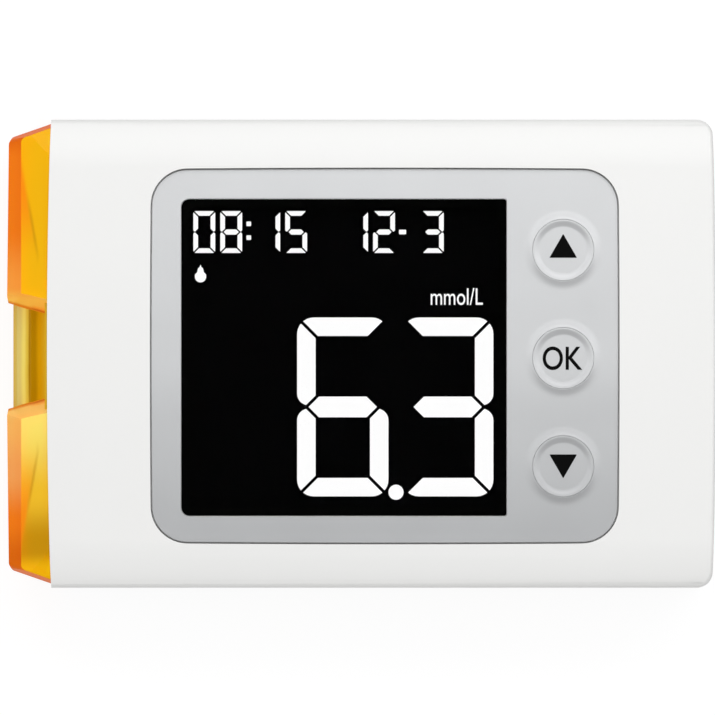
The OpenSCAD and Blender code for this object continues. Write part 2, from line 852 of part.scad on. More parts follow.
module socket_shell() {
    x1 = half_l - end_bow - 2 * fit_gap;
    y = socket_w / 2;
    color("silver") difference() {
        box_between([x1 - socket_l, -y, board_top], [x1, y, board_top + socket_h]);
        box_between(
            [x1 - socket_l + socket_t, -y + socket_t, board_top + socket_t],
            [x1 + over, y - socket_t, board_top + socket_h - socket_t]);
    }
}

module socket_tongue() {
    x1 = half_l - end_bow - 2 * fit_gap;
    y = socket_w / 2 - 3 * socket_t;
    mid = board_top + socket_h / 2;
    color("black")
        box_between([x1 - socket_l + socket_t, -y, mid - socket_t], [x1 - 2 * socket_t, y, mid + socket_t]);
}

// Soft dome of one key: a thin cone that folds as the key goes down.
module dome() {
    foot = flange_d / 2;
    crown = key_d / 2 - mat_t;
    color("lightgray") translate([key_x, 0, 0]) rotate_extrude($fn = round_fn)
        polygon([
            [0, key_bottom - dome_t], [0, key_bottom], [crown, key_bottom],
            [foot - dome_web, board_top + mat_t], [foot, board_top + mat_t], [foot, board_top],
            [foot - dome_web, board_top], [crown - dome_web, key_bottom - dome_t]]);
}

module key_mat() {
    l = flange_d + 2 * mat_rim;
    w = 2 * key_pitch + flange_d + 2 * mat_rim;
    color("lightgray") difference() {
        translate([key_x, key_y, board_top]) rounded_plate(l, w, corner_r, mat_t);
        at_keys() rod(flange_d, board_top - over, board_top + mat_t + over);
    }
}

module pill() {
    color([0.1, 0.1, 0.1]) translate([key_x, 0, 0])
        rod(pill_d, key_bottom - dome_t - pill_t, key_bottom - dome_t);
}

// Key cap: dished on top, with a flange that keeps it behind the panel.
module key_cap() {
    r = key_d / 2;
    top = case_h - crown_gap;
    round = dish_depth / 2;
    color("silver") translate([key_x, 0, 0]) rotate_extrude($fn = round_fn)
        polygon(concat(
            [[0, key_bottom], [r, key_bottom], [r, flange_top - flange_t], [r + flange_w, flange_top - flange_t],
                [r + flange_w, flange_top], [r, flange_top], [r, top - round / 2], [r - round / 2, top]],
            [for (i = [0 : arc_steps]) let (a = 90 * i / arc_steps)
                [r - round - dish_flank * sin(a), top - dish_depth * (1 - cos(a))]],
            [[0, top - dish_depth]]));
}

// A cell along Y with its cap towards +Y.
module cell() {
    rim = cell_d / 12;
    body_l = cell_l - cell_cap_h;
    rotate([-90, 0, 0]) translate([0, 0, -cell_l / 2]) rotate_extrude($fn = round_fn)
        polygon([
            [0, 0], [cell_r - rim, 0], [cell_r, rim / 2], [cell_r, body_l - rim], [cell_r - rim, body_l],
            [cell_cap_d / 2, body_l], [cell_cap_d / 2, cell_l], [0, cell_l]]);
}

module battery_left() {
    color("goldenrod") translate([cell_x[0], 0, cell_z]) cell();
}

module battery_right() {
    color("goldenrod") translate([cell_x[1], 0, cell_z]) rotate([0, 0, 180]) cell();
}

// Sheet contact on the tray's end wall, with a boss that reaches the cell.
module contact_sheet(x0, x1, side) {
    y0 = side * tray_y;
    y1 = side * (tray_y - contact_t);
    box_between([x0, min(y0, y1), cell_z - cell_r * 0.8], [x1, max(y0, y1), cell_z + cell_r * 0.8]);
}

module contact_boss(x, side) {
    translate([x, side * (cell_l / 2), cell_z])
        rotate([-side * 90, 0, 0]) cylinder(d = cell_cap_d, h = contact_room - contact_t / 2, $fn = round_fn);
}

// Points of one ring of the spring's wire, t from 0 at the cell to 1 at the sheet.
function spring_ring(t) = let (
    a = 360 * spring_turns * t,
    r = cell_r * (0.35 + 0.3 * t),
    z = (contact_room - contact_t - spring_wire * 0.8) * t + spring_wire / 2)
    [for (k = [0 : 5]) let (w = spring_wire / 2, q = 60 * k)
        [(r + w * cos(q)) * cos(a), (r + w * cos(q)) * sin(a), z + w * sin(q)]];

// Conical spring that presses on the flat end of a cell.
module contact_spring(x, side) {
    n = 16 * spring_turns;
    rings = [for (i = [0 : n]) spring_ring(i / n)];
    points = [for (ring = rings, p = ring) p];
    sides = [for (i = [0 : n - 1], k = [0 : 5])
        [6 * i + k, 6 * i + (k + 1) % 6, 6 * (i + 1) + (k + 1) % 6, 6 * (i + 1) + k]];
    ends = [[5, 4, 3, 2, 1, 0], [for (k = [0 : 5]) 6 * n + k]];
    translate([x, side * cell_l / 2, cell_z]) rotate([-side * 90, 0, 0])
        polyhedron(points = points, faces = concat(sides, ends));
}

module contact_plus() {
    color("gainsboro") {
        contact_sheet(cell_x[0] - cell_r * 0.7, cell_x[0] + cell_r * 0.7, 1);
        contact_boss(cell_x[0], 1);
    }
}

module contact_minus() {
    color("gainsboro") {
        contact_sheet(cell_x[1] - cell_r * 0.7, cell_x[1] + cell_r * 0.7, 1);
        contact_spring(cell_x[1], 1);
    }
}

module contact_bridge() {
    color("gainsboro") {
        contact_sheet(cell_x[0] - cell_r * 0.7, cell_x[1] + cell_r * 0.7, -1);
        contact_spring(cell_x[0], -1);
        contact_boss(cell_x[1], -1);
    }
}

// Screw along Z with a cross recess in its head, from the underside.
module case_screw() {
    low = screw_seat - screw_head_h;
    difference() {
        union() {
            rod(screw_head_d, low, screw_seat);
            rod(screw_d, screw_seat, inner_top - 4 * fit_gap);
        }
        for (a = [0, 90]) rotate([0, 0, a])
            translate([-screw_head_d / 3, -screw_head_d / 12, low - over])
                cube([screw_head_d / 1.5, screw_head_d / 6, screw_head_h / 2 + over]);
    }
}

module case_screws() {
    color("gray") at_screws() case_screw();
}

module battery_door() {
    x0 = door_x0 + door_gap;
    color("white") difference() {
        intersection() {
            union() {
                box_between([x0, -door_y, door_z], [half_l, door_y, door_top]);
                box_between([x0, -door_y - tongue_w, door_top - tongue_t], [half_l, door_y + tongue_w, door_top]);
            }
            translate([0, 0, -over]) linear_extrude(height = case_h) shell_outline(0, 0);
        }
        for (i = [0 : grip_n - 1])
            translate([half_l - end_bow - grip_inset - i * grip_step, 0, door_z - over])
                rounded_cut(grip_step / 2, grip_l, over + grip_depth);
    }
}

// Bar-shaped cut across the door.
module rounded_cut(l, w, t) {
    rounded_plate(l, w, l / 2.5, t);
}

front_case();
rear_case();
end_cap();
front_panel();
display_window();
display_gasket();
display_glass();
lit_segments();
light_guide();
display_holder();
contact_strips();
main_board();
processor_chip();
measuring_chip();
memory_chip();
small_components();
clock_crystal();
buzzer();
strip_connector();
strip_contacts();
strip_lamp();
socket_shell();
socket_tongue();
key_mat();
translate([0, key_names_y[0], 0]) dome();  // dome_up
translate([0, key_names_y[1], 0]) dome();  // dome_ok
translate([0, key_names_y[2], 0]) dome();  // dome_down
translate([0, key_names_y[0], 0]) pill();  // pill_up
translate([0, key_names_y[1], 0]) pill();  // pill_ok
translate([0, key_names_y[2], 0]) pill();  // pill_down
translate([0, key_names_y[0], 0]) key_cap();  // button_up
translate([0, key_names_y[1], 0]) key_cap();  // button_ok
translate([0, key_names_y[2], 0]) key_cap();  // button_down
battery_left();
battery_right();
contact_plus();
contact_minus();
contact_bridge();
case_screws();
battery_door();
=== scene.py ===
import math

import bmesh
import bpy
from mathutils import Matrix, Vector


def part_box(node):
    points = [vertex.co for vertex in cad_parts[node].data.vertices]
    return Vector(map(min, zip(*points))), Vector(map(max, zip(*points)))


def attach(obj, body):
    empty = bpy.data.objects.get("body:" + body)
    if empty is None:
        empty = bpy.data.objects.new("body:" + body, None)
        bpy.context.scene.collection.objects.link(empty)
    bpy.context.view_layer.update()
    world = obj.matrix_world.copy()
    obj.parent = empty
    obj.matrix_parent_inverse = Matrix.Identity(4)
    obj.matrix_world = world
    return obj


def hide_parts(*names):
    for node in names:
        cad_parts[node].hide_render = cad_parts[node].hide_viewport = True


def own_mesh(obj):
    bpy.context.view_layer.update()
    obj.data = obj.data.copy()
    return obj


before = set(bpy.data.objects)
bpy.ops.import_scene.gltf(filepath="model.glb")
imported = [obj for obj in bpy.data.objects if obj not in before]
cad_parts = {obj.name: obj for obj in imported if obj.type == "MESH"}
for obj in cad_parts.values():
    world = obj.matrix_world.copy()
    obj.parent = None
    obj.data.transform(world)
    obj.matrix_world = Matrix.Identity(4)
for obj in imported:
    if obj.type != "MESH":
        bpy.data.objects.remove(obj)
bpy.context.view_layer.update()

# ---- Sizes. Everything is modelled in millimetres and brought to metres when it is finished. ----
MM = 0.001


def span(node):
    """Lowest and highest corner of a part of the frame, in millimetres."""
    low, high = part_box(node)
    return low / MM, high / MM


# White shells
FRONT_LOW, FRONT_HIGH = span("front_case")
JOINT_X = FRONT_LOW.x
HALF_L = FRONT_HIGH.x
HALF_W = FRONT_HIGH.y
CASE_H = FRONT_HIGH.z
PART_Z = FRONT_LOW.z
WALL = 1.8
CROWN_R = 12.0
CROWN_ANGLE = math.radians(28)
EDGE_R = 1.2
REAR_R = 5.0
CORNER_R = 2.0
END_ROLL = 0.6
JOINT_BOW = 0.5
END_BOW = 0.45
INNER_W = HALF_W - WALL
INNER_END = HALF_L - END_BOW - WALL
INNER_TOP = span("display_gasket")[1].z
SEAM = 0.06
RIM_IN = 0.9
# Each step of the rim: its gap to the wall, and how far it reaches below and above the joint
RIM_STEPS = ((0.1, -1.0, 1.2), (-0.1, -2.0, -1.05))
# How far a cutter goes beyond what it cuts
OVER = 1.0

# Silver panel and window
PANEL_LOW, PANEL_HIGH = span("front_panel")
PANEL_STEP = 0.5
PANEL_Z = PANEL_HIGH.z - PANEL_STEP
PANEL_R = 4.6
PANEL_GAP = 0.2
PANEL_BOW = 0.15
WINDOW_LOW, WINDOW_HIGH = span("display_window")
WINDOW_R = (1.1, 0.35)
WINDOW_GAP = 0.05
LEDGE_W = 0.9
PRINT_T = 0.05

# Keys
KEY_NAMES = ("up", "ok", "down")
KEY_BOXES = {name: span("button_" + name) for name in KEY_NAMES}
KEY_D = 8.1
KEY_GAP = 0.02
KEY_TOP = PANEL_Z + 0.16
KEY_RIM = 0.08
KEY_FLANK = 0.95
KEY_DISH = 0.17
KEY_FLOOR = KEY_TOP - KEY_DISH
FLANGE_W, FLANGE_T = 0.8, 0.8
COLLAR_FOOT = 5.4
COLLAR_CREST = 0.06
COLLAR_RISE = 0.17
PRINT_RISE = 0.02
ARROW_SIDE = 3.65
UP_SHIFT = 0.04
OK_HALF_W, OK_HALF_H, OK_SHIFT = 2.62, 1.56, -0.1
DOME_TOP_T = 0.5
DOME_WEB = 0.4
DOME_FOOT_T = 0.6

# Lit figures
LIT_LOW, LIT_HIGH = span("lit_segments")
BIG_W, BIG_H, BIG_BAR = 12.1, 23.7, 2.45
BIG_PITCH = 13.9
BIG_GAP = 0.42
BIG_ROUND = 2.2
BIG_MARGIN_X, BIG_MARGIN_Y = 1.7, 2.55
POINT_D = 2.0
POINT_RISE = 0.55
SMALL_W, SMALL_H, SMALL_BAR = 2.9, 5.55, 0.62
SMALL_PITCH = 3.57
SMALL_GAP = 0.2
SMALL_ROUND = 0.36
ROW_MARGIN = 1.55
READING = (6, 3)
TOP_ROW = ((0, 0), (8, 1), (1, 2.41), (5, 3.41), (1, 5.67), (2, 6.67), (3, 8.48))
COLON_STEP, COLON_RISE = 1.97, (0.31, 0.64)
DASH_STEP, DASH_L = 7.63, 0.95
UNIT_LOW, UNIT_HIGH = (9.3, 6.45), (16.2, 8.7)
DROP_AT, DROP_R = (-21.2, 10.2), 0.75

# Amber end
CAP_HIGH = span("end_cap")[1]
CAP_NOSE = 2.1
CAP_DROP = 1.1
CAP_TIP = 8.5
CAP_TAPER = 2.1
CAP_LEAN = 1.0
CAP_WALL = 1.0
CAP_THROAT = CAP_WALL + 1.8
TIP_BOW = 0.3
TIP_R = 0.5
GAP_W = 10.65
GAP_FLARE = 3.45
GAP_LEAN = 2.0
GAP_Y = -0.3
SLOT_W = 7.2
SLOT_H = 1.1
SLOT_Z = 11.4
LOWER_LIP, UPPER_LIP = 4.9, 2.45
LIP_WALL = 1.1
LIP_H = 2.2
LIP_UNDERCUT = (-1, 0, -0.24)

# Battery bay, door, cells, screws and socket
TRAY_LOW = Vector((21.85, -24.15, 0))
TRAY_HIGH = Vector((43.85, 24.15, 12.7))
TRAY_WALL = 0.8
DOOR_LOW, DOOR_HIGH = span("battery_door")
DOOR_GAP = 0.2
TONGUE_W, TONGUE_T = 0.8, 0.6
DOOR_EDGE = DOOR_HIGH.y - TONGUE_W
GROOVES = 6
GROOVE_PITCH = 1.6
GROOVE_W, GROOVE_L, GROOVE_DEPTH = 0.8, 14.0, 0.35
CELL_NUB = 1.0
CELL_BARE_R = 4.35
BAND_START = 8.0
BAND_W = 1.6
SOCKET_LOW, SOCKET_HIGH = span("socket_shell")
SOCKET_WALL = 0.3
SOCKET_GAP = 0.2
BOARD_LOW, BOARD_HIGH = span("main_board")
SCREW_LOW, SCREW_HIGH = span("case_screws")
SCREW_HEAD_R = 1.9
SCREW_R = 1.02
THREAD_PITCH = 0.7
THREAD_DEPTH = 0.14
RECESS_HALF_L, RECESS_HALF_W, RECESS_DEPTH = 1.1, 0.22, 0.75
SEAT_Z = 5.0
POST_R = 3.0
BORE_R = 1.1
HEAD_ROOM_R = 2.1

# Finishes
WAVER = 0.3

# Stage
AIM = Vector((-0.4, -0.5, CASE_H)) * MM
VIEW_WIDTH = 94.5 * MM
LENS_MM = 400.0
SENSOR_MM = 36.0
FLOOR_GAP = 0.03 * MM
LAMP_AIM = Vector((0, 0, 0.01))


# ---- Modelling ----
def pick(piece):
    """Make one piece the only selected and the active one."""
    bpy.ops.object.select_all(action="DESELECT")
    piece.select_set(True)
    bpy.context.view_layer.objects.active = piece


def settle(piece):
    """Put the piece's place, turn and scale into its mesh."""
    pick(piece)
    bpy.ops.object.transform_apply(location=True, rotation=True, scale=True)
    return piece


def named(piece, name):
    piece.name = piece.data.name = name
    return piece


def primitive(operator, name, **values):
    """The mesh that an operator adds, made while nothing else is selected."""
    bpy.ops.object.select_all(action="DESELECT")
    operator(**values)
    return named(bpy.context.object, name)


def block(name, low, high):
    """A box between two corners."""
    low, high = Vector(low), Vector(high)
    return settle(primitive(bpy.ops.mesh.primitive_cube_add, name, size=1, location=(low + high) / 2,
                            scale=high - low))


def edit(piece, mode="EDGE"):
    pick(piece)
    bpy.ops.object.mode_set(mode="EDIT")
    bpy.ops.mesh.select_mode(type=mode)
    bpy.ops.mesh.select_all(action="DESELECT")


def done():
    bpy.ops.object.mode_set(mode="OBJECT")


def choose(piece, kind, test):
    """In edit mode, select only the verts, edges or faces that pass the test; say how many did."""
    bpy.ops.mesh.select_all(action="DESELECT")
    mesh = bmesh.from_edit_mesh(piece.data)
    chosen = [item for item in getattr(mesh, kind) if test(item)]
    for item in chosen:
        item.select_set(True)
    mesh.select_flush_mode()
    bmesh.update_edit_mesh(piece.data)
    return len(chosen)


def middle(edge):
    return (edge.verts[0].co + edge.verts[1].co) / 2


def runs_along(edge, axis):
    """Whether an edge is parallel to an axis, 0 for X, 1 for Y and 2 for Z."""
    way = (edge.verts[1].co - edge.verts[0].co).normalized()
    return abs(way[axis]) > 0.999


def weld():
    """In edit mode, merge what an operation left on one spot."""
    bpy.ops.mesh.select_all(action="SELECT")
    bpy.ops.mesh.remove_doubles(threshold=0.001)


def bevel(piece, test, offset, segments):
    edit(piece)
    if choose(piece, "edges", test):
        bpy.ops.mesh.bevel(offset=offset, offset_type="OFFSET", segments=segments, profile=0.5,
                           affect="EDGES", clamp_overlap=False)
        weld()
    done()


def bevel_along(piece, axis, offset, segments, test=lambda p: True):
    """Round the edges that run along an axis and whose middle passes the test."""
    bevel(piece, lambda e: runs_along(e, axis) and test(middle(e)), offset, segments)


def slice_off(piece, point, normal):
    """Cut away what lies beyond a plane, and close the cut."""
    edit(piece)
    bpy.ops.mesh.select_all(action="SELECT")
    bpy.ops.mesh.bisect(plane_co=point, plane_no=Vector(normal).normalized(), use_fill=True,
                        clear_outer=True, threshold=0.0001)
    weld()
    done()


def modify(piece, kind, **settings):
    """Add a modifier to a piece and apply it."""
    pick(piece)
    step = piece.modifiers.new("step", kind)
    for name, value in settings.items():
        setattr(step, name, value)
    bpy.ops.object.modifier_apply(modifier=step.name)
    return piece


def combine(piece, tool, how="DIFFERENCE"):
    """Cut one piece with another, keep what they share, or join them; the tool is used up."""
    modify(piece, "BOOLEAN", operation=how, solver="EXACT", material_mode="TRANSFER", object=tool)
    bpy.data.objects.remove(tool)
    return piece


def join(piece, others):
    """Put other meshes into the piece's mesh."""
    pick(piece)
    for other in others:
        other.select_set(True)
    bpy.ops.object.join()
    return piece


def rounded_block(name, low, high, radius, steps):
    """A box with its upright edges rounded; radius is one number, or (low X side, high X side)."""
    piece = block(name, low, high)
    left, right = radius if isinstance(radius, tuple) else (radius, radius)
    mid = (low[0] + high[0]) / 2
    bevel_along(piece, 2, left, steps, lambda p: p.x < mid)
    bevel_along(piece, 2, right, steps, lambda p: p.x > mid + 0.5 * (high[0] - mid))
    return piece


def turned(name, centre, profile, steps):
    """A solid turned round an upright axis; the profile lists (radius, height) from the underside."""
    x, y = centre
    r0, z0 = profile[0]
    piece = settle(primitive(bpy.ops.mesh.primitive_circle_add, name, vertices=steps, radius=r0,
                             location=(x, y, z0)))
    edit(piece)
    bpy.ops.mesh.select_all(action="SELECT")
    bpy.ops.mesh.edge_face_add()
    choose(piece, "edges", lambda e: True)
    for (ra, za), (rb, zb) in zip(profile, profile[1:]):
        bpy.ops.mesh.extrude_edges_move(TRANSFORM_OT_translate={"value": (0, 0, zb - za)})
        bpy.ops.transform.resize(value=(rb / ra, rb / ra, 1), center_override=(x, y, 0))
    bpy.ops.mesh.edge_face_add()
    done()
    return face_out(piece)


def face_out(piece, gap=0.001):
    """Merge what touches and turn all faces outwards."""
    edit(piece, "VERT")
    bpy.ops.mesh.select_all(action="SELECT")
    bpy.ops.mesh.remove_doubles(threshold=gap)
    bpy.ops.mesh.normals_make_consistent(inside=False)
    done()
    return piece


def rod(name, x, y, radius, z0, z1, steps):
    return turned(name, (x, y), [(radius, z0), (radius, z1)], steps)


def drill(piece, x, y, radius, z0, z1, steps=24):
    combine(piece, rod("hole", x, y, radius, z0, z1, steps))


def soften(piece, width, segments=2, angle=32):
    """Round the sharp edges a little, as a mould leaves them."""
    return modify(piece, "BEVEL", width=width, segments=segments, limit_method="ANGLE",
                  angle_limit=math.radians(angle), use_clamp_overlap=True, harden_normals=False)


def smooth(piece):
    """Shade smoothly across all but the sharp edges, and keep the broad faces flat."""
    pick(piece)
    bpy.ops.object.shade_smooth_by_angle(angle=math.radians(35))
    return modify(piece, "WEIGHTED_NORMAL", keep_sharp=True, weight=60)


def paint(piece, material):
    """Make a material the only one on a piece."""
    piece.data.materials.clear()
    piece.data.materials.append(material)


def complete(piece, material, body, replaces=()):
    """Bring a finished piece to metres, give it its finish and hang it on its body."""
    piece.scale = (MM, MM, MM)
    paint(smooth(settle(piece)), material)
    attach(piece, body)
    if replaces:
        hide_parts(*replaces)
    return piece


# ---- Shader nodes ----
def feed(tree, socket, value):
    """Link an output to a socket, or write a number, a colour or a vector on it."""
    if isinstance(value, bpy.types.NodeSocket):
        tree.links.new(value, socket)
    elif socket.type == "RGBA":
        socket.default_value = (*value, 1)
    else:
        socket.default_value = value


def put(tree, node, **values):
    """Set up a node: lower-case names are its settings, capitalised ones its inputs, with _ for a space."""
    for name, value in values.items():
        if name[0].islower():
            setattr(node, name, value)
        else:
            feed(tree, node.inputs[name.replace("_", " ")], value)
    return node


def add(tree, kind, **values):
    return put(tree, tree.nodes.new("ShaderNode" + kind), **values)


def compute(tree, operation, *values):
    node = add(tree, "Math", operation=operation)
    for socket, value in zip(node.inputs, values):
        feed(tree, socket, value)
    return node.outputs[0]


def own_place(tree, kind="Object"):
    return add(tree, "TexCoord").outputs[kind]


def axes(tree, kind="Object"):
    """X, Y and Z of a piece's own coordinates, or of another output of the coordinates node."""
    return add(tree, "SeparateXYZ", Vector=own_place(tree, kind)).outputs


def noise(tree, scale, detail=3.0):
    """Noise over the piece's own coordinates; scale is a number or a socket."""
    return add(tree, "TexNoise", Vector=own_place(tree), Scale=scale, Detail=detail).outputs["Fac"]


def map_range(tree, value, start, end, low, high, smooth=False):
    """Carry start..end over to low..high, and hold it beyond them."""
    node = add(tree, "MapRange", interpolation_type="SMOOTHSTEP" if smooth else "LINEAR", Value=value,
               From_Min=start, From_Max=end, To_Min=low, To_Max=high)
    return node.outputs["Result"]


def spread(tree, value, low, high):
    """Map noise, which lies mostly between 0.3 and 0.7, to a range."""
    return map_range(tree, value, 0.3, 0.7, low, high)


def blend_colors(tree, mask, a, b, blend="MIX"):
    """A where the mask is 0, B where it is 1; each a colour or a socket."""
    return add(tree, "Mix", data_type="RGBA", blend_type=blend, Factor=mask, A=a, B=b).outputs["Result"]


def bumped(tree, height, strength, distance):
    return add(tree, "Bump", Strength=strength, Distance=distance, Height=height).outputs["Normal"]


def face_mask(tree, label):
    return add(tree, "Attribute", attribute_name=label).outputs["Fac"]


def mark_faces(piece, label, test):
    """Write a number on each face, which a material can read back by its label."""
    flags = [float(test(face)) for face in piece.data.polygons]
    piece.data.attributes.new(label, "FLOAT", "FACE").data.foreach_set("value", flags)


def ramp_along(tree, axis, stops):
    """Colours at given millimetres along an axis, with a little wavering."""
    start, end = stops[0][0], stops[-1][0]
    moved = compute(tree, "MULTIPLY_ADD", noise(tree, 120.0, 2.0), WAVER * MM, axes(tree)[axis])
    ramp = add(tree, "ValToRGB", Fac=map_range(tree, moved, start * MM, end * MM, 0.0, 1.0))
    ramp.color_ramp.interpolation = "EASE"
    points = ramp.color_ramp.elements
    while len(points) < len(stops):
        points.new(0.5)
    for point, (at, color) in zip(points, stops):
        point.position = (at - start) / (end - start)
        point.color = (*color, 1)
    return ramp.outputs["Color"]


def grain_group():
    """Fine moulded or painted grain: a colour that wavers, a roughness that varies and a bump."""
    group = bpy.data.node_groups.new("surface_grain", "ShaderNodeTree")
    for label, kind, value in (
            ("Color", "Color", (0.8, 0.8, 0.8, 1)), ("Scale", "Float", 4000.0), ("Tint", "Float", 0.02),
            ("Rough Low", "Float", 0.25), ("Rough High", "Float", 0.35), ("Bump", "Float", 0.05),
            ("Depth", "Float", 0.00002)):
        socket = group.interface.new_socket(label, in_out="INPUT", socket_type="NodeSocket" + kind)
        socket.default_value = value
    for label, kind in (("Color", "Color"), ("Roughness", "Float"), ("Normal", "Vector")):
        group.interface.new_socket(label, in_out="OUTPUT", socket_type="NodeSocket" + kind)
    start = group.nodes.new("NodeGroupInput").outputs
    fine = noise(group, start["Scale"])
    halves = [compute(group, "MULTIPLY", part, 0.5) for part in (fine, noise(group, 90.0, 2.0))]
    both = compute(group, "ADD", *halves)
    shade = spread(group, both, compute(group, "SUBTRACT", 1.0, start["Tint"]), 1.0)
    put(group, group.nodes.new("NodeGroupOutput"),
        Color=blend_colors(group, 1.0, start["Color"], shade, "MULTIPLY"),
        Roughness=spread(group, both, start["Rough Low"], start["Rough High"]),
        Normal=bumped(group, fine, start["Bump"], start["Depth"]))
    return group


# ---- Materials ----
def new_material(name, **sockets):
    """A Principled material; sockets are set by name, with spaces written as underscores."""
    material = bpy.data.materials.new(name)
    material.use_nodes = True
    tree = material.node_tree
    return material, tree, put(tree, tree.nodes["Principled BSDF"], **sockets)


def grained(name, color, scale, tint, rough, bump, depth=0.00002, **sockets):
    """A Principled material with the grain group; color is a colour, or makes one from the tree."""
    material, tree, shader = new_material(name, **sockets)
    if callable(color):
        color = color(tree)
    grain = add(tree, "Group", node_tree=GRAIN, Color=color, Scale=scale, Tint=tint, Rough_Low=rough[0],
                Rough_High=rough[1], Bump=bump, Depth=depth).outputs
    put(tree, shader, Base_Color=grain["Color"], Roughness=grain["Roughness"], Normal=grain["Normal"])
    return material


def silver_with_painted_shade(tree):
    """Silver paint with painted shade: darker towards the lower edge of the panel, and darker on slopes that
    face along Y.
    """
    # Painted shade: the silver goes from light at the upper edge of the panel to dark at the lower edge.
    tone = ramp_along(tree, 1, [(-25, (0.60, 0.61, 0.62)), (-9, (0.69, 0.70, 0.71)), (1, (0.77, 0.78, 0.79)),
                                (24, (0.80, 0.81, 0.82))])
    # Painted shade on slopes that face along Y, such as the key collars and dishes.
    lean = compute(tree, "ABSOLUTE", axes(tree, "Normal")["Y"])
    return blend_colors(tree, map_range(tree, lean, 0.04, 0.18, 0.0, 0.28, True), tone, (0.36, 0.36, 0.37))


def silver_paint(name):
    return grained(name, silver_with_painted_shade, 9000.0, 0.04, (0.55, 0.60), 0.05, Metallic=0.6, Specular_IOR_Level=0.2)


def painted_inner_wall_shade(tree, color):
    """Painted shade of a slanting inner wall that is not modelled, as if seen through the front: a painted
    deeper orange before it and a painted dark soft line along it.
    """
    own = axes(tree)
    away = compute(tree, "ABSOLUTE", own["Y"])
    slant = map_range(tree, away, 13 * MM, 28 * MM, -42.7 * MM, -45.3 * MM)
    before = compute(tree, "SUBTRACT", slant, own["X"])
    deep = compute(tree, "MULTIPLY", map_range(tree, before, -0.3 * MM, 0.4 * MM, 0.0, 0.85, True),
                   map_range(tree, away, 12 * MM, 22 * MM, 0.0, 1.0, True))
    near = map_range(tree, compute(tree, "ABSOLUTE", before), 0.0, 0.35 * MM, 0.45, 0.0, True)
    along = compute(tree, "ABSOLUTE", compute(tree, "SUBTRACT", away, 16.5 * MM))
    line = compute(tree, "MULTIPLY", near, map_range(tree, along, 1.0 * MM, 5.5 * MM, 1.0, 0.0, True))
    color = blend_colors(tree, deep, color, (0.96, 0.31, 0.006))
    return blend_colors(tree, line, color, (0.5, 0.26, 0.002))


def painted_gap_edge(tree, color):
    """A painted deep orange line along the edge of the gap between the blocks, standing in for how the lit
    amber looks at that edge.
    """
    own = axes(tree)
    away = compute(tree, "ABSOLUTE", compute(tree, "SUBTRACT", own["Y"], GAP_Y * MM))
    edge = map_range(tree, own["X"], -HALF_L * MM, (JOINT_X + JOINT_BOW) * MM, (GAP_W + GAP_FLARE) / 2 * MM,
                     GAP_W / 2 * MM)
    line = map_range(tree, compute(tree, "SUBTRACT", away, edge), 0.15 * MM, 0.5 * MM, 0.8, 0.0, True)
    return blend_colors(tree, line, color, (0.72, 0.2, 0.006))


def amber_material(name, axis, stops, side_stops, clear, painted_glow, front_painted_glow, painted_block_marks=False):
    """Cloudy tinted plastic with painted light: golden on the faces that look up and deep orange on its
    standing faces, picked by which way a face points, with a painted glow, as it holds no lamp.
    """
    material, tree, shader = new_material(name, IOR=1.005, Transmission_Weight=clear, Specular_IOR_Level=0.0,
                                          Coat_Roughness=0.05, Coat_IOR=1.45, Emission_Strength=painted_glow)
    # Painted light: the colour is picked by which way a face points, standing in for how light passes
    # through the amber.
    level = map_range(tree, compute(tree, "ABSOLUTE", axes(tree, "Normal")["Z"]), 0.5, 0.87, 0.0, 1.0, True)
    front = ramp_along(tree, axis, stops)
    side = ramp_along(tree, 1, side_stops)
    if painted_block_marks:
        front = painted_inner_wall_shade(tree, front)
        side = painted_gap_edge(tree, side)
    color = blend_colors(tree, level, side, front)
    # Painted glow: an emission in the amber's colour, turned down on faces that look up by the front share.
    dim = compute(tree, "MULTIPLY", level, 1 - front_painted_glow)
    put(tree, shader, Base_Color=color, Coat_Weight=map_range(tree, level, 0.0, 1.0, 0.03, 0.2),
        Emission_Color=blend_colors(tree, dim, color, (0.0, 0.0, 0.0)),
        Roughness=map_range(tree, face_mask(tree, "inside"), 0.0, 1.0, 0.04, 0.12),
        Normal=bumped(tree, noise(tree, 260.0, 2.0), 0.04, 0.0001))
    return material


def cell_material():
    """A printed jacket with one pale band, and bare nickelled ends."""
    material, tree, shader = new_material("cell_jacket")
    bare = face_mask(tree, "bare")
    wear = spread(tree, noise(tree, 1800.0), 0.86, 1.0)
    jacket = blend_colors(tree, face_mask(tree, "band"), (0.75, 0.55, 0.20), (0.86, 0.86, 0.82))
    jacket = blend_colors(tree, wear, (0.5, 0.36, 0.12), jacket)
    put(tree, shader, Base_Color=blend_colors(tree, bare, jacket, (0.74, 0.74, 0.72)), Metallic=bare,
        Roughness=spread(tree, noise(tree, 700.0), 0.24, 0.34))
    return material


def board_material():
    """Solder mask over copper tracks: fine lines both ways and small pads stand paler in the green."""
    material, tree, shader = new_material("board_green", Specular_IOR_Level=0.5)
    lines = []
    for turn, pitch in ((0.0, 1.3), (math.pi / 2, 1.9)):
        place = add(tree, "Mapping", Rotation=(0, 0, turn), Vector=own_place(tree)).outputs["Vector"]
        lines.append(add(tree, "TexBrick", Scale=1 / (pitch * MM), Mortar_Size=0.09, Brick_Width=5.3,
                         Row_Height=1.0, Vector=place).outputs["Fac"])
    patches = spread(tree, noise(tree, 150.0, 1.0), 0.0, 1.0)
    tracks = compute(tree, "MULTIPLY", compute(tree, "MAXIMUM", *lines), patches)
    put(tree, shader, Base_Color=blend_colors(tree, tracks, (0.025, 0.17, 0.07), (0.07, 0.32, 0.14)),
        Roughness=spread(tree, noise(tree, 2500.0), 0.28, 0.36), Normal=bumped(tree, tracks, 0.3, 0.00004))
    return material


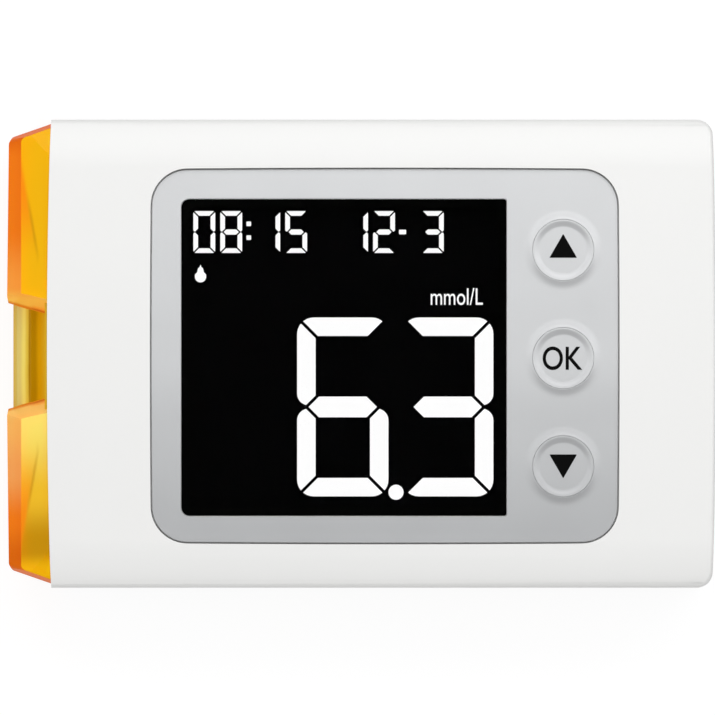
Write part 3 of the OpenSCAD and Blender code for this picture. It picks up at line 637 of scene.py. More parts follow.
def elastomer_material():
    """Pink silicone with fine dark conducting layers across its length."""
    material, tree, shader = new_material("zebra_elastomer")
    layers = add(tree, "TexWave", bands_direction="X", Scale=1 / (0.4 * MM) / 2, Distortion=0.4,
                 Vector=own_place(tree)).outputs["Fac"]
    put(tree, shader, Base_Color=blend_colors(tree, layers, (0.75, 0.45, 0.45), (0.06, 0.05, 0.05)),
        Roughness=spread(tree, noise(tree, 3000.0), 0.5, 0.65))
    return material


GRAIN = grain_group()
WHITE = grained("white_shell_plastic", (0.85, 0.85, 0.84), 2500.0, 0.01, (0.34, 0.4), 0.015,
                Specular_IOR_Level=0.35)
SILVER = silver_paint("silver_panel_paint")
KEY_SILVER = silver_paint("silver_key_paint")
BLACK_PRINT = grained("black_print", (0.002, 0.002, 0.002), 5000.0, 0.2, (0.5, 0.6), 0.02,
                      Specular_IOR_Level=0.02)
BLACK_GLASS = grained("display_black", (0.002, 0.002, 0.0025), 300.0, 0.2, (0.3, 0.4), 0.0,
                      Specular_IOR_Level=0.02)
BLACK_INK = grained("black_key_ink", (0.003, 0.003, 0.003), 5000.0, 0.2, (0.5, 0.6), 0.04,
                    Specular_IOR_Level=0.05)
GOLD_TINT, PALE_TINT = (0.95, 0.57, 0.004), (1.0, 0.88, 0.19)
DARK_TINT, ORANGE_TINT = (0.66, 0.35, 0.002), (0.92, 0.25, 0.008)
SHADE_TINT, LIP_TINT = (0.40, 0.21, 0.001), (0.7, 0.40, 0.03)
# Painted light and shade across the blocks: along Y the front colour is darker near the lower block's lower
# edge and paler towards the middle, the side colour deepens towards the outer edges, and the blocks carry a
# painted glow.
AMBER = amber_material(
    "clear_amber", 1,
    [(-29.5, GOLD_TINT), (-28.4, GOLD_TINT), (-26, DARK_TINT), (-24.5, DARK_TINT),
     (-18.5, (0.95, 0.63, 0.03)), (-8.5, PALE_TINT), (8, GOLD_TINT), (27, GOLD_TINT)],
    [(-27, (0.78, 0.17, 0.002)), (-22, ORANGE_TINT), (-15.5, (0.94, 0.44, 0.12)), (-9, (0.96, 0.55, 0.14)),
     (-7, (0.95, 0.68, 0.20)), (7, (0.95, 0.62, 0.10)), (9, (0.96, 0.41, 0.06)), (17, ORANGE_TINT),
     (26, ORANGE_TINT), (29.5, (0.80, 0.15, 0.001))],
    clear=0.3, painted_glow=0.2, front_painted_glow=0.2, painted_block_marks=True)
# Painted light and shade along X: the lower lip darker at its outer end and lightest just before the slot, a
# painted slot shadow (SHADE_TINT) between the lips, and a painted glow on all faces that brightens the lips
# in their shaded gap.
AMBER_PORT = amber_material(
    "clear_amber_port", 0,
    [(-46.0, (0.52, 0.47, 0.14)), (-45.3, (0.63, 0.56, 0.18)), (-44.7, (0.80, 0.71, 0.17)),
     (-44.3, (0.72, 0.56, 0.07)), (-43.9, SHADE_TINT), (-43.2, SHADE_TINT), (-42.5, (0.60, 0.32, 0.002)),
     (-41.7, (0.62, 0.40, 0.02))],
    [(-9, LIP_TINT), (9, LIP_TINT)],
    clear=0.15, painted_glow=0.28, front_painted_glow=1.0)
LENS = new_material("window_lens", Base_Color=(1, 1, 1), Roughness=0.0, IOR=1.45, Transmission_Weight=1.0)[0]
LIT = grained("lit_white", (0.05, 0.05, 0.05), 3000.0, 0.1, (0.5, 0.6), 0.0, Specular_IOR_Level=0.05,
              Emission_Color=(1, 1, 1), Emission_Strength=1.03)
PLASTIC_BLACK = grained("black_plastic", (0.02, 0.02, 0.02), 3000.0, 0.1, (0.4, 0.5), 0.05)
BRIGHT_METAL = grained("bright_metal", (0.75, 0.75, 0.74), 1500.0, 0.08, (0.2, 0.32), 0.04, Metallic=1.0)
SPRING_STEEL = grained("spring_steel", (0.80, 0.80, 0.79), 2500.0, 0.1, (0.18, 0.3), 0.03, Metallic=1.0)
SCREW_STEEL = grained("screw_steel", (0.45, 0.45, 0.46), 3500.0, 0.15, (0.28, 0.42), 0.06, Metallic=1.0)
GOLD_LEAF = grained("gold_leaf", (0.90, 0.72, 0.35), 3000.0, 0.06, (0.18, 0.28), 0.03, Metallic=1.0)
IVORY = grained("connector_ivory", (0.85, 0.82, 0.72), 2500.0, 0.03, (0.42, 0.5), 0.04)
CHIP_BLACK = grained("chip_black", (0.05, 0.05, 0.052), 6000.0, 0.2, (0.5, 0.65), 0.12)
CERAMIC_TAN = grained("component_tan", (0.60, 0.48, 0.33), 5000.0, 0.15, (0.35, 0.5), 0.05)
FOAM = grained("gasket_foam", (0.12, 0.12, 0.12), 4500.0, 0.45, (0.85, 0.95), 0.6, 0.0001)
SILICONE = grained("key_silicone", (0.72, 0.73, 0.74), 2000.0, 0.03, (0.5, 0.6), 0.06,
                   Subsurface_Weight=0.1, Subsurface_Scale=0.002)
CARBON = grained("carbon_pill", (0.03, 0.03, 0.03), 7000.0, 0.3, (0.65, 0.8), 0.25)
GUIDE = grained("guide_clear", (0.85, 0.88, 0.90), 800.0, 0.02, (0.12, 0.2), 0.05, Transmission_Weight=0.7)
LAMP = grained("lamp_epoxy", (0.92, 0.90, 0.80), 1500.0, 0.04, (0.15, 0.25), 0.02, Transmission_Weight=0.3)
CELL_JACKET = cell_material()


# ---- Shells ----
def case_prism(name, x0, x1, inset=0.0):
    """The case's cross-section drawn out along X, all its faces moved in by inset."""
    half_w = HALF_W - inset
    top = CASE_H - inset
    edge = max(EDGE_R - inset, 0.2)
    turn = math.tan(CROWN_ANGLE / 2)
    start = HALF_W - EDGE_R - (CROWN_R - EDGE_R) * math.sin(CROWN_ANGLE) + CROWN_R * turn - inset * turn
    piece = block(name, (x0, -half_w, inset), (x1, half_w, top))
    for side in (-1, 1):
        slice_off(piece, (0, side * start, top), (0, side * math.sin(CROWN_ANGLE), math.cos(CROWN_ANGLE)))
    bevel_along(piece, 0, REAR_R - inset, 10, lambda p: p.z < inset + 0.01)
    bevel_along(piece, 0, edge * math.tan((math.pi / 2 - CROWN_ANGLE) / 2), 6,
                lambda p: abs(p.y) > half_w - 0.01 and p.z > CASE_H / 2 + 1)
    bevel_along(piece, 0, (CROWN_R - inset) * turn, 10,
                lambda p: abs(abs(p.y) - start) < 0.01 and p.z > top - 0.01)
    return piece


def bow_end(piece, axis, at, depth, half, middle_at=0.0):
    """Draw an end face back towards its sides by depth, as a shallow curve along the other axis."""
    other = 1 - axis
    inward = -1 if at > 0 else 1
    edit(piece, "VERT")
    mesh = bmesh.from_edit_mesh(piece.data)
    places = sorted({round(v.co[other], 4) for v in mesh.verts if abs(v.co[axis] - at) < 0.01})
    for place in places:
        back = depth * ((place - middle_at) / half) ** 2
        choose(piece, "verts", lambda v: abs(v.co[axis] - at) < 0.01 and abs(v.co[other] - place) < 0.001)
        move = [0, 0, 0]
        move[axis] = inward * back
        if back > 0.0001:
            bpy.ops.transform.translate(value=move)
    done()


def divide(piece, axis, cuts):
    """Cut all edges that run along an axis into equal parts."""
    edit(piece)
    choose(piece, "edges", lambda e: runs_along(e, axis))
    bpy.ops.mesh.subdivide(number_cuts=cuts)
    done()


def plan_block():
    """The white shells' outline from above as a tall block, with bowed ends."""
    piece = block("plan", (JOINT_X, -HALF_W, -2), (HALF_L, HALF_W, CASE_H + 2))
    divide(piece, 1, 15)
    bow_end(piece, 0, JOINT_X, JOINT_BOW, HALF_W)
    bow_end(piece, 0, HALF_L, END_BOW, HALF_W)
    bevel_along(piece, 2, CORNER_R, 8, lambda p: p.x > HALF_L - 1 and abs(p.y) > HALF_W - 0.01)
    return piece


def case_form():
    """The closed outer form of the two shells."""
    piece = case_prism("case_form", JOINT_X - 2, HALF_L + 2)
    combine(piece, plan_block(), "INTERSECT")
    face_out(piece)
    bevel(piece, lambda e: min(v.co.x for v in e.verts) > HALF_L - CORNER_R - END_BOW - 0.2
          and len(e.link_faces) == 2 and e.calc_face_angle() > 0.35 and not runs_along(e, 2), END_ROLL, 4)
    return piece


def panel_form(name, grow, z0, z1):
    """The front panel's outline from above: rounded corners and sides that bow a little."""
    low = Vector((PANEL_LOW.x - grow, PANEL_LOW.y - grow, z0))
    high = Vector((PANEL_HIGH.x + grow, PANEL_HIGH.y + grow, z1))
    mid, half = (low + high) / 2, (high - low) / 2
    piece = block(name, low, high)
    for axis in (0, 1):
        divide(piece, axis, 7)
    for axis in (0, 1):
        for at in (low[axis], high[axis]):
            bow_end(piece, axis, at, PANEL_BOW, half[1 - axis], mid[1 - axis])
    bevel_along(piece, 2, PANEL_R + grow, 12, lambda p: abs(abs(p.x - mid.x) - half.x) < 0.4
                and abs(abs(p.y - mid.y) - half.y) < 0.4)
    return piece


def window_form(name, inset, z0, z1, radius=WINDOW_R, steps=6):
    """The window's outline, all its sides moved in by inset."""
    return rounded_block(name, (WINDOW_LOW.x + inset, WINDOW_LOW.y + inset, z0),
                         (WINDOW_HIGH.x - inset, WINDOW_HIGH.y - inset, z1), radius, steps)


def key_places():
    return [((low.x + high.x) / 2, (low.y + high.y) / 2) for low, high in KEY_BOXES.values()]


def screw_places():
    return [(x, y) for x in (SCREW_LOW.x + SCREW_HEAD_R, SCREW_HIGH.x - SCREW_HEAD_R)
            for y in (SCREW_LOW.y + SCREW_HEAD_R, SCREW_HIGH.y - SCREW_HEAD_R)]


def front_shell(form):
    piece = named(form, "front_shell")
    slice_off(piece, (0, 0, PART_Z + SEAM / 2), (0, 0, -1))
    room = block("room", (JOINT_X - 3, -INNER_W, PART_Z - 3), (INNER_END, INNER_W, INNER_TOP))
    bevel_along(room, 0, 1.2, 3, lambda p: p.z > INNER_TOP - 0.1)
    combine(piece, room)
    combine(piece, panel_form("pocket", PANEL_GAP, PANEL_LOW.z, CASE_H + 2))
    combine(piece, window_form("view", LEDGE_W, INNER_TOP - OVER, PANEL_LOW.z + OVER, 0.8, 4))
    for x, y in key_places():
        drill(piece, x, y, KEY_D / 2 + 2 * KEY_GAP, INNER_TOP - OVER, PANEL_LOW.z + OVER, 48)
    combine(piece, socket_cutter())
    for x, y in screw_places():
        post = rod("post", x, y, POST_R - 0.1, BOARD_HIGH.z, INNER_TOP + 0.3, 32)
        drill(post, x, y, BORE_R, BOARD_HIGH.z - OVER, INNER_TOP - 0.2)
        combine(piece, post, "UNION")
    return soften(face_out(piece), 0.14)


def socket_cutter():
    cutter = block("socket_cut", (HALF_L - 6, SOCKET_LOW.y - SOCKET_GAP, SOCKET_LOW.z - SOCKET_GAP / 2),
                   (HALF_L + 2, SOCKET_HIGH.y + SOCKET_GAP, SOCKET_HIGH.z + SOCKET_GAP))
    bevel_along(cutter, 0, 0.5, 3)
    return cutter


def rim(gap, z0, z1):
    """A frame along the inside of the walls, gap away from them and open towards the amber end."""
    piece = block("rim", (CAP_HIGH.x + 0.2, gap - INNER_W, z0), (INNER_END - gap, INNER_W - gap, z1))
    return combine(piece, block("rim_room", (CAP_HIGH.x - 5, RIM_IN - INNER_W, PART_Z - 3),
                                (INNER_END - RIM_IN, INNER_W - RIM_IN, PART_Z + 3)))


def rear_shell(form):
    piece = named(form, "rear_shell")
    slice_off(piece, (0, 0, PART_Z - SEAM / 2), (0, 0, 1))
    room = block("room", (JOINT_X - 3, -INNER_W, WALL), (INNER_END, INNER_W, PART_Z + 3))
    bevel_along(room, 0, REAR_R - WALL, 6, lambda p: p.z < WALL + 0.1)
    combine(piece, room)
    for gap, z0, z1 in RIM_STEPS:
        combine(piece, rim(gap, PART_Z + z0, PART_Z + z1), "UNION")
    tray = block("tray", (TRAY_LOW.x - TRAY_WALL, TRAY_LOW.y - TRAY_WALL, WALL - 0.1),
                 (TRAY_HIGH.x + TRAY_WALL, TRAY_HIGH.y + TRAY_WALL, TRAY_HIGH.z + TRAY_WALL))
    combine(piece, tray, "UNION")
    for x, y in screw_places():
        combine(piece, rod("post", x, y, POST_R, WALL - 0.1, BOARD_LOW.z, 32), "UNION")
    combine(piece, block("cell_room", (TRAY_LOW.x, TRAY_LOW.y, -OVER), TRAY_HIGH))
    for half, z0 in ((DOOR_EDGE, -OVER), (DOOR_HIGH.y, DOOR_HIGH.z - TONGUE_T - DOOR_GAP)):
        combine(piece, block("door_room", (DOOR_LOW.x - DOOR_GAP, -half - DOOR_GAP, z0),
                             (HALF_L + OVER, half + DOOR_GAP, DOOR_HIGH.z + DOOR_GAP)))
    for x, y in screw_places():
        drill(piece, x, y, HEAD_ROOM_R, -OVER, SEAT_Z, 40)
        drill(piece, x, y, BORE_R, -OVER, BOARD_LOW.z + OVER)
    return soften(face_out(piece), 0.14)


def door():
    piece = block("door", (DOOR_LOW.x, -DOOR_EDGE, DOOR_LOW.z), (HALF_L + OVER, DOOR_EDGE, DOOR_HIGH.z))
    combine(piece, block("tongues", (DOOR_LOW.x, -DOOR_HIGH.y, DOOR_HIGH.z - TONGUE_T),
                         (HALF_L + OVER, DOOR_HIGH.y, DOOR_HIGH.z)), "UNION")
    combine(piece, plan_block(), "INTERSECT")
    face_out(piece)
    bevel(piece, lambda e: min(v.co.x for v in e.verts) > HALF_L - 1 and not runs_along(e, 2)
          and e.calc_face_angle() > 0.5 and middle(e).z < DOOR_LOW.z + 0.1, END_ROLL, 4)
    for i in range(GROOVES):
        x = HALF_L - END_BOW - 4 - i * GROOVE_PITCH
        combine(piece, rounded_block("groove", (x - GROOVE_W / 2, -GROOVE_L / 2, DOOR_LOW.z - OVER),
                                     (x + GROOVE_W / 2, GROOVE_L / 2, DOOR_LOW.z + GROOVE_DEPTH),
                                     0.4 * GROOVE_W, 4))
    return soften(face_out(piece), 0.12)


# ---- Front ----
def slope(r0, z0, r1, z1, steps):
    """Points of an S-shaped slope that starts and ends level."""
    return [(r0 + (r1 - r0) * t, z0 + (z1 - z0) * t * t * (3 - 2 * t))
            for t in (i / steps for i in range(steps + 1))]


def collar(place):
    """The low mound that one key comes through, before its hole is cut."""
    crest = KEY_D / 2 + KEY_GAP + COLLAR_CREST
    rise = [(COLLAR_FOOT + (crest - COLLAR_FOOT) * i / 10, PANEL_Z + COLLAR_RISE * (i / 10) ** 2)
            for i in range(11)]
    return turned("collar", place, [(COLLAR_FOOT, PANEL_Z - 0.3)] + rise, 96)


def silver_panel():
    piece = panel_form("silver_panel", 0.0, PANEL_LOW.z, PANEL_Z)
    combine(piece, window_form("window_hole", -WINDOW_GAP, PANEL_LOW.z - OVER, PANEL_Z + OVER))
    for x, y in key_places():
        combine(piece, collar((x, y)), "UNION")
        drill(piece, x, y, KEY_D / 2 + KEY_GAP, PANEL_LOW.z - OVER, PANEL_Z + OVER, 96)
    return soften(face_out(piece), 0.04)


def key_cap(name, place):
    """A dished cap with a flange below that keeps it in its hole."""
    radius = KEY_D / 2
    flange_r = radius + FLANGE_W
    flange_top = INNER_TOP - 0.2
    flange_low = flange_top - FLANGE_T
    rim_r = radius - KEY_RIM
    return turned(name + "_key", place, [
        (radius, KEY_BOXES[name][0].z), (radius, flange_low), (flange_r, flange_low), (flange_r, flange_top),
        (radius, flange_top), (radius, KEY_TOP - 0.05), (radius - 0.015, KEY_TOP - 0.015),
        (radius - 0.05, KEY_TOP)] + slope(rim_r, KEY_TOP, rim_r - KEY_FLANK, KEY_FLOOR, 10), 96)


def triangle(name, x, y, side, up, z0, z1):
    """A thin triangle with eased corners, its middle of area at x, y; up is 1 or -1."""
    piece = primitive(bpy.ops.mesh.primitive_cylinder_add, name, vertices=3, radius=side / math.sqrt(3),
                      depth=z1 - z0, location=(x, y, (z0 + z1) / 2))
    piece.scale.y = up
    face_out(settle(piece))
    bevel_along(piece, 2, 0.1, 3)
    return piece


def lettering(name, words, low, high, bold):
    """Raised words that fill a box."""
    bpy.ops.object.select_all(action="DESELECT")
    bpy.ops.object.text_add(location=(0, 0, 0))
    piece = bpy.context.object
    piece.data.body = words
    piece.data.size = 3.0
    piece.data.resolution_u = 6
    piece.data.offset = bold
    piece.data.extrude = (high[2] - low[2]) / 2
    bpy.ops.object.convert(target="MESH")
    named(piece, name)
    corners = [Vector(c) for c in piece.bound_box]
    start = Vector([min(c[i] for c in corners) for i in range(3)])
    end = Vector([max(c[i] for c in corners) for i in range(3)])
    grow = [(high[i] - low[i]) / (end[i] - start[i]) for i in range(3)]
    piece.scale = grow
    piece.location = [low[i] - start[i] * grow[i] for i in range(3)]
    return face_out(settle(piece), 0.0001)


def key_print(name, place):
    """What is printed on a key: an arrow up, OK, or an arrow down."""
    x, y = place
    z0, z1 = KEY_FLOOR - 0.05, KEY_FLOOR + PRINT_RISE
    if name == "ok":
        return lettering("ok_print", "OK", (x - OK_HALF_W + OK_SHIFT, y - OK_HALF_H, z0),
                         (x + OK_HALF_W + OK_SHIFT, y + OK_HALF_H, z1), 0.03)
    up, shift = (1, UP_SHIFT) if name == "up" else (-1, ARROW_SIDE / (4 * math.sqrt(3)))
    return triangle(name + "_print", x, y + shift, ARROW_SIDE, up, z0, z1)


FIGURE_PARTS = (("edge", 1, 1), ("side", -1, 1), ("side", -1, -1), ("edge", 1, -1), ("side", 1, -1),
                ("side", 1, 1), ("middle", 1, 1))
FIGURES = {0: (1, 1, 1, 1, 1, 1, 0), 1: (0, 1, 1, 0, 0, 0, 0), 2: (1, 1, 0, 1, 1, 0, 1),
           3: (1, 1, 1, 1, 0, 0, 1), 5: (1, 0, 1, 1, 0, 1, 1), 6: (1, 0, 1, 1, 1, 1, 1),
           8: (1, 1, 1, 1, 1, 1, 1)}


def segment(kind, w, h, bar, gap, round_r):
    """One bar of a seven-segment figure whose middle is at the origin: its top, upper left or middle bar."""
    half_w, half_h = w / 2, h / 2
    cut = gap / 2 * math.sqrt(2)
    z0, z1 = LIT_LOW.z, LIT_HIGH.z
    if kind == "edge":
        piece = block("edge", (-half_w, half_h - bar, z0), (half_w, half_h, z1))
        bevel_along(piece, 2, round_r, 8, lambda p: p.y > half_h - 0.01)
        for side in (-1, 1):
            slice_off(piece, (side * (half_w - cut), half_h, 0), (side, -1, 0))
    elif kind == "side":
        piece = block("side", (-half_w, 0.09 * bar, z0), (bar - half_w, half_h, z1))
        bevel_along(piece, 2, round_r, 8, lambda p: p.x < -half_w + 0.01 and p.y > half_h / 2)
        bevel_along(piece, 2, 0.7 * round_r, 8, lambda p: p.x < -half_w + 0.01 and p.y < half_h / 2)
        slice_off(piece, (-half_w, half_h - cut, 0), (1, 1, 0))
        slice_off(piece, (bar / 2 - half_w, cut, 0), (1, -1, 0))
    else:
        thick = 1.12 * bar
        piece = block("middle", (bar / 2 - half_w, -thick / 2, z0), (half_w - bar / 2, thick / 2, z1))
        for side in (-1, 1):
            for up in (-1, 1):
                slice_off(piece, (side * (half_w - bar / 2 - cut), 0, 0), (side, up, 0))
    return piece


def figure(number, x, y, w, h, bar, gap, round_r):
    """A lit seven-segment figure; x, y is its lower left corner."""
    parts = []
    for on, (kind, way_x, way_y) in zip(FIGURES[number], FIGURE_PARTS):
        if on:
            part = segment(kind, w, h, bar, gap, round_r)
            part.scale = (way_x, way_y, 1)
            part.location = (x + w / 2, y + h / 2, 0)
            parts.append(face_out(settle(part), 0.0001))
    return join(parts[0], parts[1:])


def lit_figures():
    """The reading, its point, the clock and the date."""
    x = WINDOW_HIGH.x - BIG_MARGIN_X - BIG_W - BIG_PITCH
    y = WINDOW_LOW.y + BIG_MARGIN_Y
    parts = [figure(number, x + i * BIG_PITCH, y, BIG_W, BIG_H, BIG_BAR, BIG_GAP, BIG_ROUND)
             for i, number in enumerate(READING)]
    parts.append(rod("point", x + (BIG_PITCH + BIG_W) / 2 + 0.1, y + POINT_RISE, POINT_D / 2, LIT_LOW.z,
                     LIT_HIGH.z, 40))
    x = WINDOW_LOW.x + ROW_MARGIN
    y = WINDOW_HIGH.y - ROW_MARGIN - SMALL_H
    parts += [figure(number, x + step * SMALL_PITCH, y, SMALL_W, SMALL_H, SMALL_BAR, SMALL_GAP, SMALL_ROUND)
              for number, step in TOP_ROW]
    dots = [(COLON_STEP, SMALL_H * rise, SMALL_BAR) for rise in COLON_RISE]
    dots.append((DASH_STEP, (SMALL_H - SMALL_BAR) / 2, DASH_L))
    for step, rise, long in dots:
        dot_x, dot_y = x + step * SMALL_PITCH, y + rise
        dot = block("dot", (dot_x, dot_y, LIT_LOW.z), (dot_x + long, dot_y + SMALL_BAR, LIT_HIGH.z))
        bevel_along(dot, 2, 0.12, 8)
        parts.append(dot)
    return named(join(parts[0], parts[1:]), "lit_figures")


def drop(name, x, y, radius, z0, z1):
    """A small flat drop with its point up."""
    piece = rod(name, x, y, radius, z0, z1, 32)
    edit(piece, "VERT")
    for above, grow in ((0.15, (1, 2.1, 1)), (0.8, (0.62, 1, 1)), (1.6, (0.35, 1, 1))):
        choose(piece, "verts", lambda v: v.co.y > y + above * radius)
        bpy.ops.transform.resize(value=grow, center_override=(x, y, 0))
    done()
    return face_out(piece, 0.0001)


def window_print():
    """The black border printed on the back of the window."""
    ring = window_form("window_print", 0.0, WINDOW_LOW.z, WINDOW_LOW.z + PRINT_T)
    view = window_form("print_view", LEDGE_W + 0.2, WINDOW_LOW.z - OVER, WINDOW_HIGH.z + OVER, 0.6, 4)
    return face_out(combine(ring, view))


def window_lens():
    return soften(window_form("window_lens", 0.0, WINDOW_LOW.z + PRINT_T + 0.01, WINDOW_HIGH.z), 0.08)


# ---- Amber end ----
def amber_form(name, side, inset, x1):
    """One block of the amber end as a closed faceted form, all faces moved in by inset."""
    foot = JOINT_X + JOINT_BOW
    tip = -HALF_L + inset
    nose = -HALF_L + CAP_NOSE + 0.74 * inset
    outer = HALF_W - 0.2 - inset
    half_gap = GAP_W / 2 + inset + side * GAP_Y
    gap_tip = (GAP_W + GAP_FLARE) / 2 + inset + side * GAP_Y
    top = CASE_H - 0.1 - inset
    low = 0.1 + inset
    mid = CASE_H / 2
    piece = case_prism(name, tip, x1, inset + 0.1)

    def flank(a, b, up, lean):
        """Cut along the line from a to b seen from above; the cut leans in towards front and back."""
        way = Vector((b[0] - a[0], b[1] - a[1], 0)).normalized()
        normal = Vector((-way.y, way.x, 0)) * up
        for face in (1, -1) if lean else (1,):
            slice_off(piece, (a[0], a[1], mid), normal + Vector((0, 0, face * lean / mid)))

    flank((foot, side * half_gap), (tip, side * gap_tip), side, GAP_LEAN)
    flank((foot, side * outer), (tip, side * (outer - CAP_TAPER)), -side, CAP_LEAN)
    flank((tip, side * gap_tip), (tip + TIP_BOW, side * outer), side, 0)
    if x1 > foot:
        slice_off(piece, (foot, side * half_gap, mid), (0, -side, 0))
    for up, face in ((1, top), (-1, low)):
        fall = Vector((foot - nose, 0, CAP_DROP))
        slice_off(piece, (nose, 0, face - up * CAP_DROP), (-fall.z, 0, up * fall.x))
        steep = Vector((nose - tip, 0, (top - low) / 2 - CAP_DROP - CAP_TIP / 2))
        slice_off(piece, (tip, 0, mid + up * CAP_TIP / 2), (-steep.z, 0, up * steep.x))
    bevel(piece, lambda e: all(v.co.x < nose + 0.02 and side * v.co.y > outer - CAP_TAPER - CAP_LEAN - 0.2
                               for v in e.verts), TIP_R, 5)
    return piece


def joint_at(y):
    """Where the white shells begin, at a distance from the middle line."""
    return JOINT_X + JOINT_BOW * (y / HALF_W) ** 2


def amber_block(side):
    """One hollow block, open towards the case through a smaller throat; its inner faces are marked."""
    foot = JOINT_X + JOINT_BOW
    solid = amber_form("amber_block", side, 0.0, foot)
    near, far = GAP_W / 2, HALF_W
    run = Vector((joint_at(far) - joint_at(near), side * (far - near), 0))
    slice_off(solid, (joint_at(near) - 0.03, side * near, 0), Vector((run.y, -run.x, 0)) * side)
    room = amber_form("amber_room", side, CAP_WALL, JOINT_X - 0.6)
    throat = amber_form("amber_throat", side, CAP_THROAT, foot + 1)
    for piece, material in ((solid, AMBER), (room, CUT_MARK), (throat, CUT_MARK)):
        piece.data.materials.append(material)
    combine(solid, room)
    combine(solid, throat)
    soften(face_out(solid), 0.2, 3, 20)
    mark_faces(solid, "inside", lambda face: face.material_index)
    for face in solid.data.polygons:
        face.material_index = 0
    while len(solid.data.materials) > 1:
        solid.data.materials.pop()
    return solid


def trim_ends(piece, lean):
    """Cut both ends of a lip to the flanks of the blocks that it runs between."""
    mid = CASE_H / 2
    for side in (-1, 1):
        start = Vector((JOINT_X + JOINT_BOW, GAP_Y + side * (GAP_W / 2 + 0.05), mid))
        end = Vector((-HALF_L, GAP_Y + side * ((GAP_W + GAP_FLARE) / 2 + 0.05), mid))
        way = (end - start).normalized()
        slice_off(piece, start, Vector((way.y, -way.x, 0)) * side + Vector((0, 0, lean / mid)))


def amber_lips():
    """The strip port between the blocks: a hollow lower lip, an upper lip and the wall behind them."""
    low_x, high_x = JOINT_X - LOWER_LIP, JOINT_X - UPPER_LIP
    slot_low, slot_high = SLOT_Z - SLOT_H / 2, SLOT_Z + SLOT_H / 2
    lower = block("lower_lip", (low_x, -HALF_W / 2, CAP_WALL), (JOINT_X, HALF_W / 2, slot_low))
    slice_off(lower, (low_x, 0, slot_low - 0.6), (-1, 0, 1))
    slice_off(lower, (low_x, 0, CASE_H / 3), LIP_UNDERCUT)
    trim_ends(lower, GAP_LEAN)
    room = block("lip_room", (low_x + LIP_WALL, -HALF_W, CAP_WALL + LIP_WALL),
                 (JOINT_X - 0.5, HALF_W, slot_low - LIP_WALL))
    slice_off(room, (low_x + LIP_WALL, 0, CASE_H / 3), LIP_UNDERCUT)
    combine(lower, room)
    upper = block("upper_lip", (high_x, -HALF_W / 2, slot_high), (JOINT_X, HALF_W / 2, slot_high + LIP_H))
    slice_off(upper, (high_x, 0, slot_high + LIP_H), (-1, 0, 0.12))
    trim_ends(upper, 0)
    half = GAP_W / 2 + GAP_LEAN - 0.25
    back = block("port_back", (JOINT_X - 0.4, GAP_Y - half, CAP_WALL),
                 (JOINT_X - 0.02, GAP_Y + half, INNER_TOP - 0.2))
    combine(back, block("slot", (JOINT_X - OVER, -SLOT_W / 2, slot_low),
                        (JOINT_X + OVER, SLOT_W / 2, slot_high)))
    for piece in (lower, upper, back):
        soften(piece, 0.12)
    return named(join(lower, [upper, back]), "strip_port")


# ---- Inside ----
def cell(node, plus):
    """An AAA cell along Y with its jacket rolled over both ends; plus says which way its button points."""
    low, high = span(node)
    radius = (high.x - low.x) / 2
    half = (high.y - low.y) / 2
    shoulder = half - CELL_NUB
    band_top = shoulder - BAND_START
    roll = 0.35
    piece = turned(node + "_cell", (0, 0), [
        (3.6, -half), (3.9, -half + 0.08), (4.1, -half + 0.3), (CELL_BARE_R, -half + 0.35),
        (radius - roll, -half + 0.2), (radius - 0.1, -half + 0.3), (radius, -half + 0.2 + roll),
        (radius, band_top - BAND_W), (radius, band_top), (radius, shoulder - 0.1 - roll),
        (radius - 0.1, shoulder - 0.2), (radius - roll, shoulder - 0.1), (CELL_BARE_R, shoulder - 0.25),
        (3.4, shoulder - 0.2), (2.2, shoulder), (1.95, shoulder + 0.1), (1.9, half - 0.25),
        (1.78, half - 0.08), (1.55, half)], 72)
    mark_faces(piece, "bare", lambda face: math.hypot(face.center.x, face.center.y) < CELL_BARE_R - 0.05)
    mark_faces(piece, "band", lambda face: 0 < band_top - face.center.z < BAND_W)
    piece.rotation_euler = (-plus * math.pi / 2, 0, 0)
    piece.location = (low + high) / 2
    return settle(piece)


def screw(x, y):
    """A pan head screw driven up from the back: crossed recess, shank and rolled thread."""
    foot, tip = SCREW_LOW.z, SCREW_HIGH.z
    root = SCREW_R - THREAD_DEPTH
    start = SEAT_Z + 0.6
    thread = []
    for i in range(int((tip - 1.0 - start) / THREAD_PITCH)):
        z = start + i * THREAD_PITCH
        thread += [(root, z), (root, z + 0.4 * THREAD_PITCH), (SCREW_R, z + 0.65 * THREAD_PITCH),
                   (SCREW_R, z + 0.75 * THREAD_PITCH)]
    piece = turned("screw", (x, y), [
        (SCREW_HEAD_R - 0.55, foot), (SCREW_HEAD_R - 0.25, foot + 0.08), (SCREW_HEAD_R - 0.06, foot + 0.35),
        (SCREW_HEAD_R, foot + 0.7), (SCREW_HEAD_R, SEAT_Z), (SCREW_R, SEAT_Z), (SCREW_R, SEAT_Z + 0.5)]
        + thread + [(root, tip - 0.8), (0.3, tip)], 32)
    cross, arm = (block("recess", (x - a, y - b, foot - OVER), (x + a, y + b, foot + RECESS_DEPTH))
                  for a, b in ((RECESS_HALF_L, RECESS_HALF_W), (RECESS_HALF_W, RECESS_HALF_L)))
    return combine(piece, combine(cross, arm, "UNION"))


def screw_set():
    screws = [screw(x, y) for x, y in screw_places()]
    return named(join(screws[0], screws[1:]), "case_screw_set")


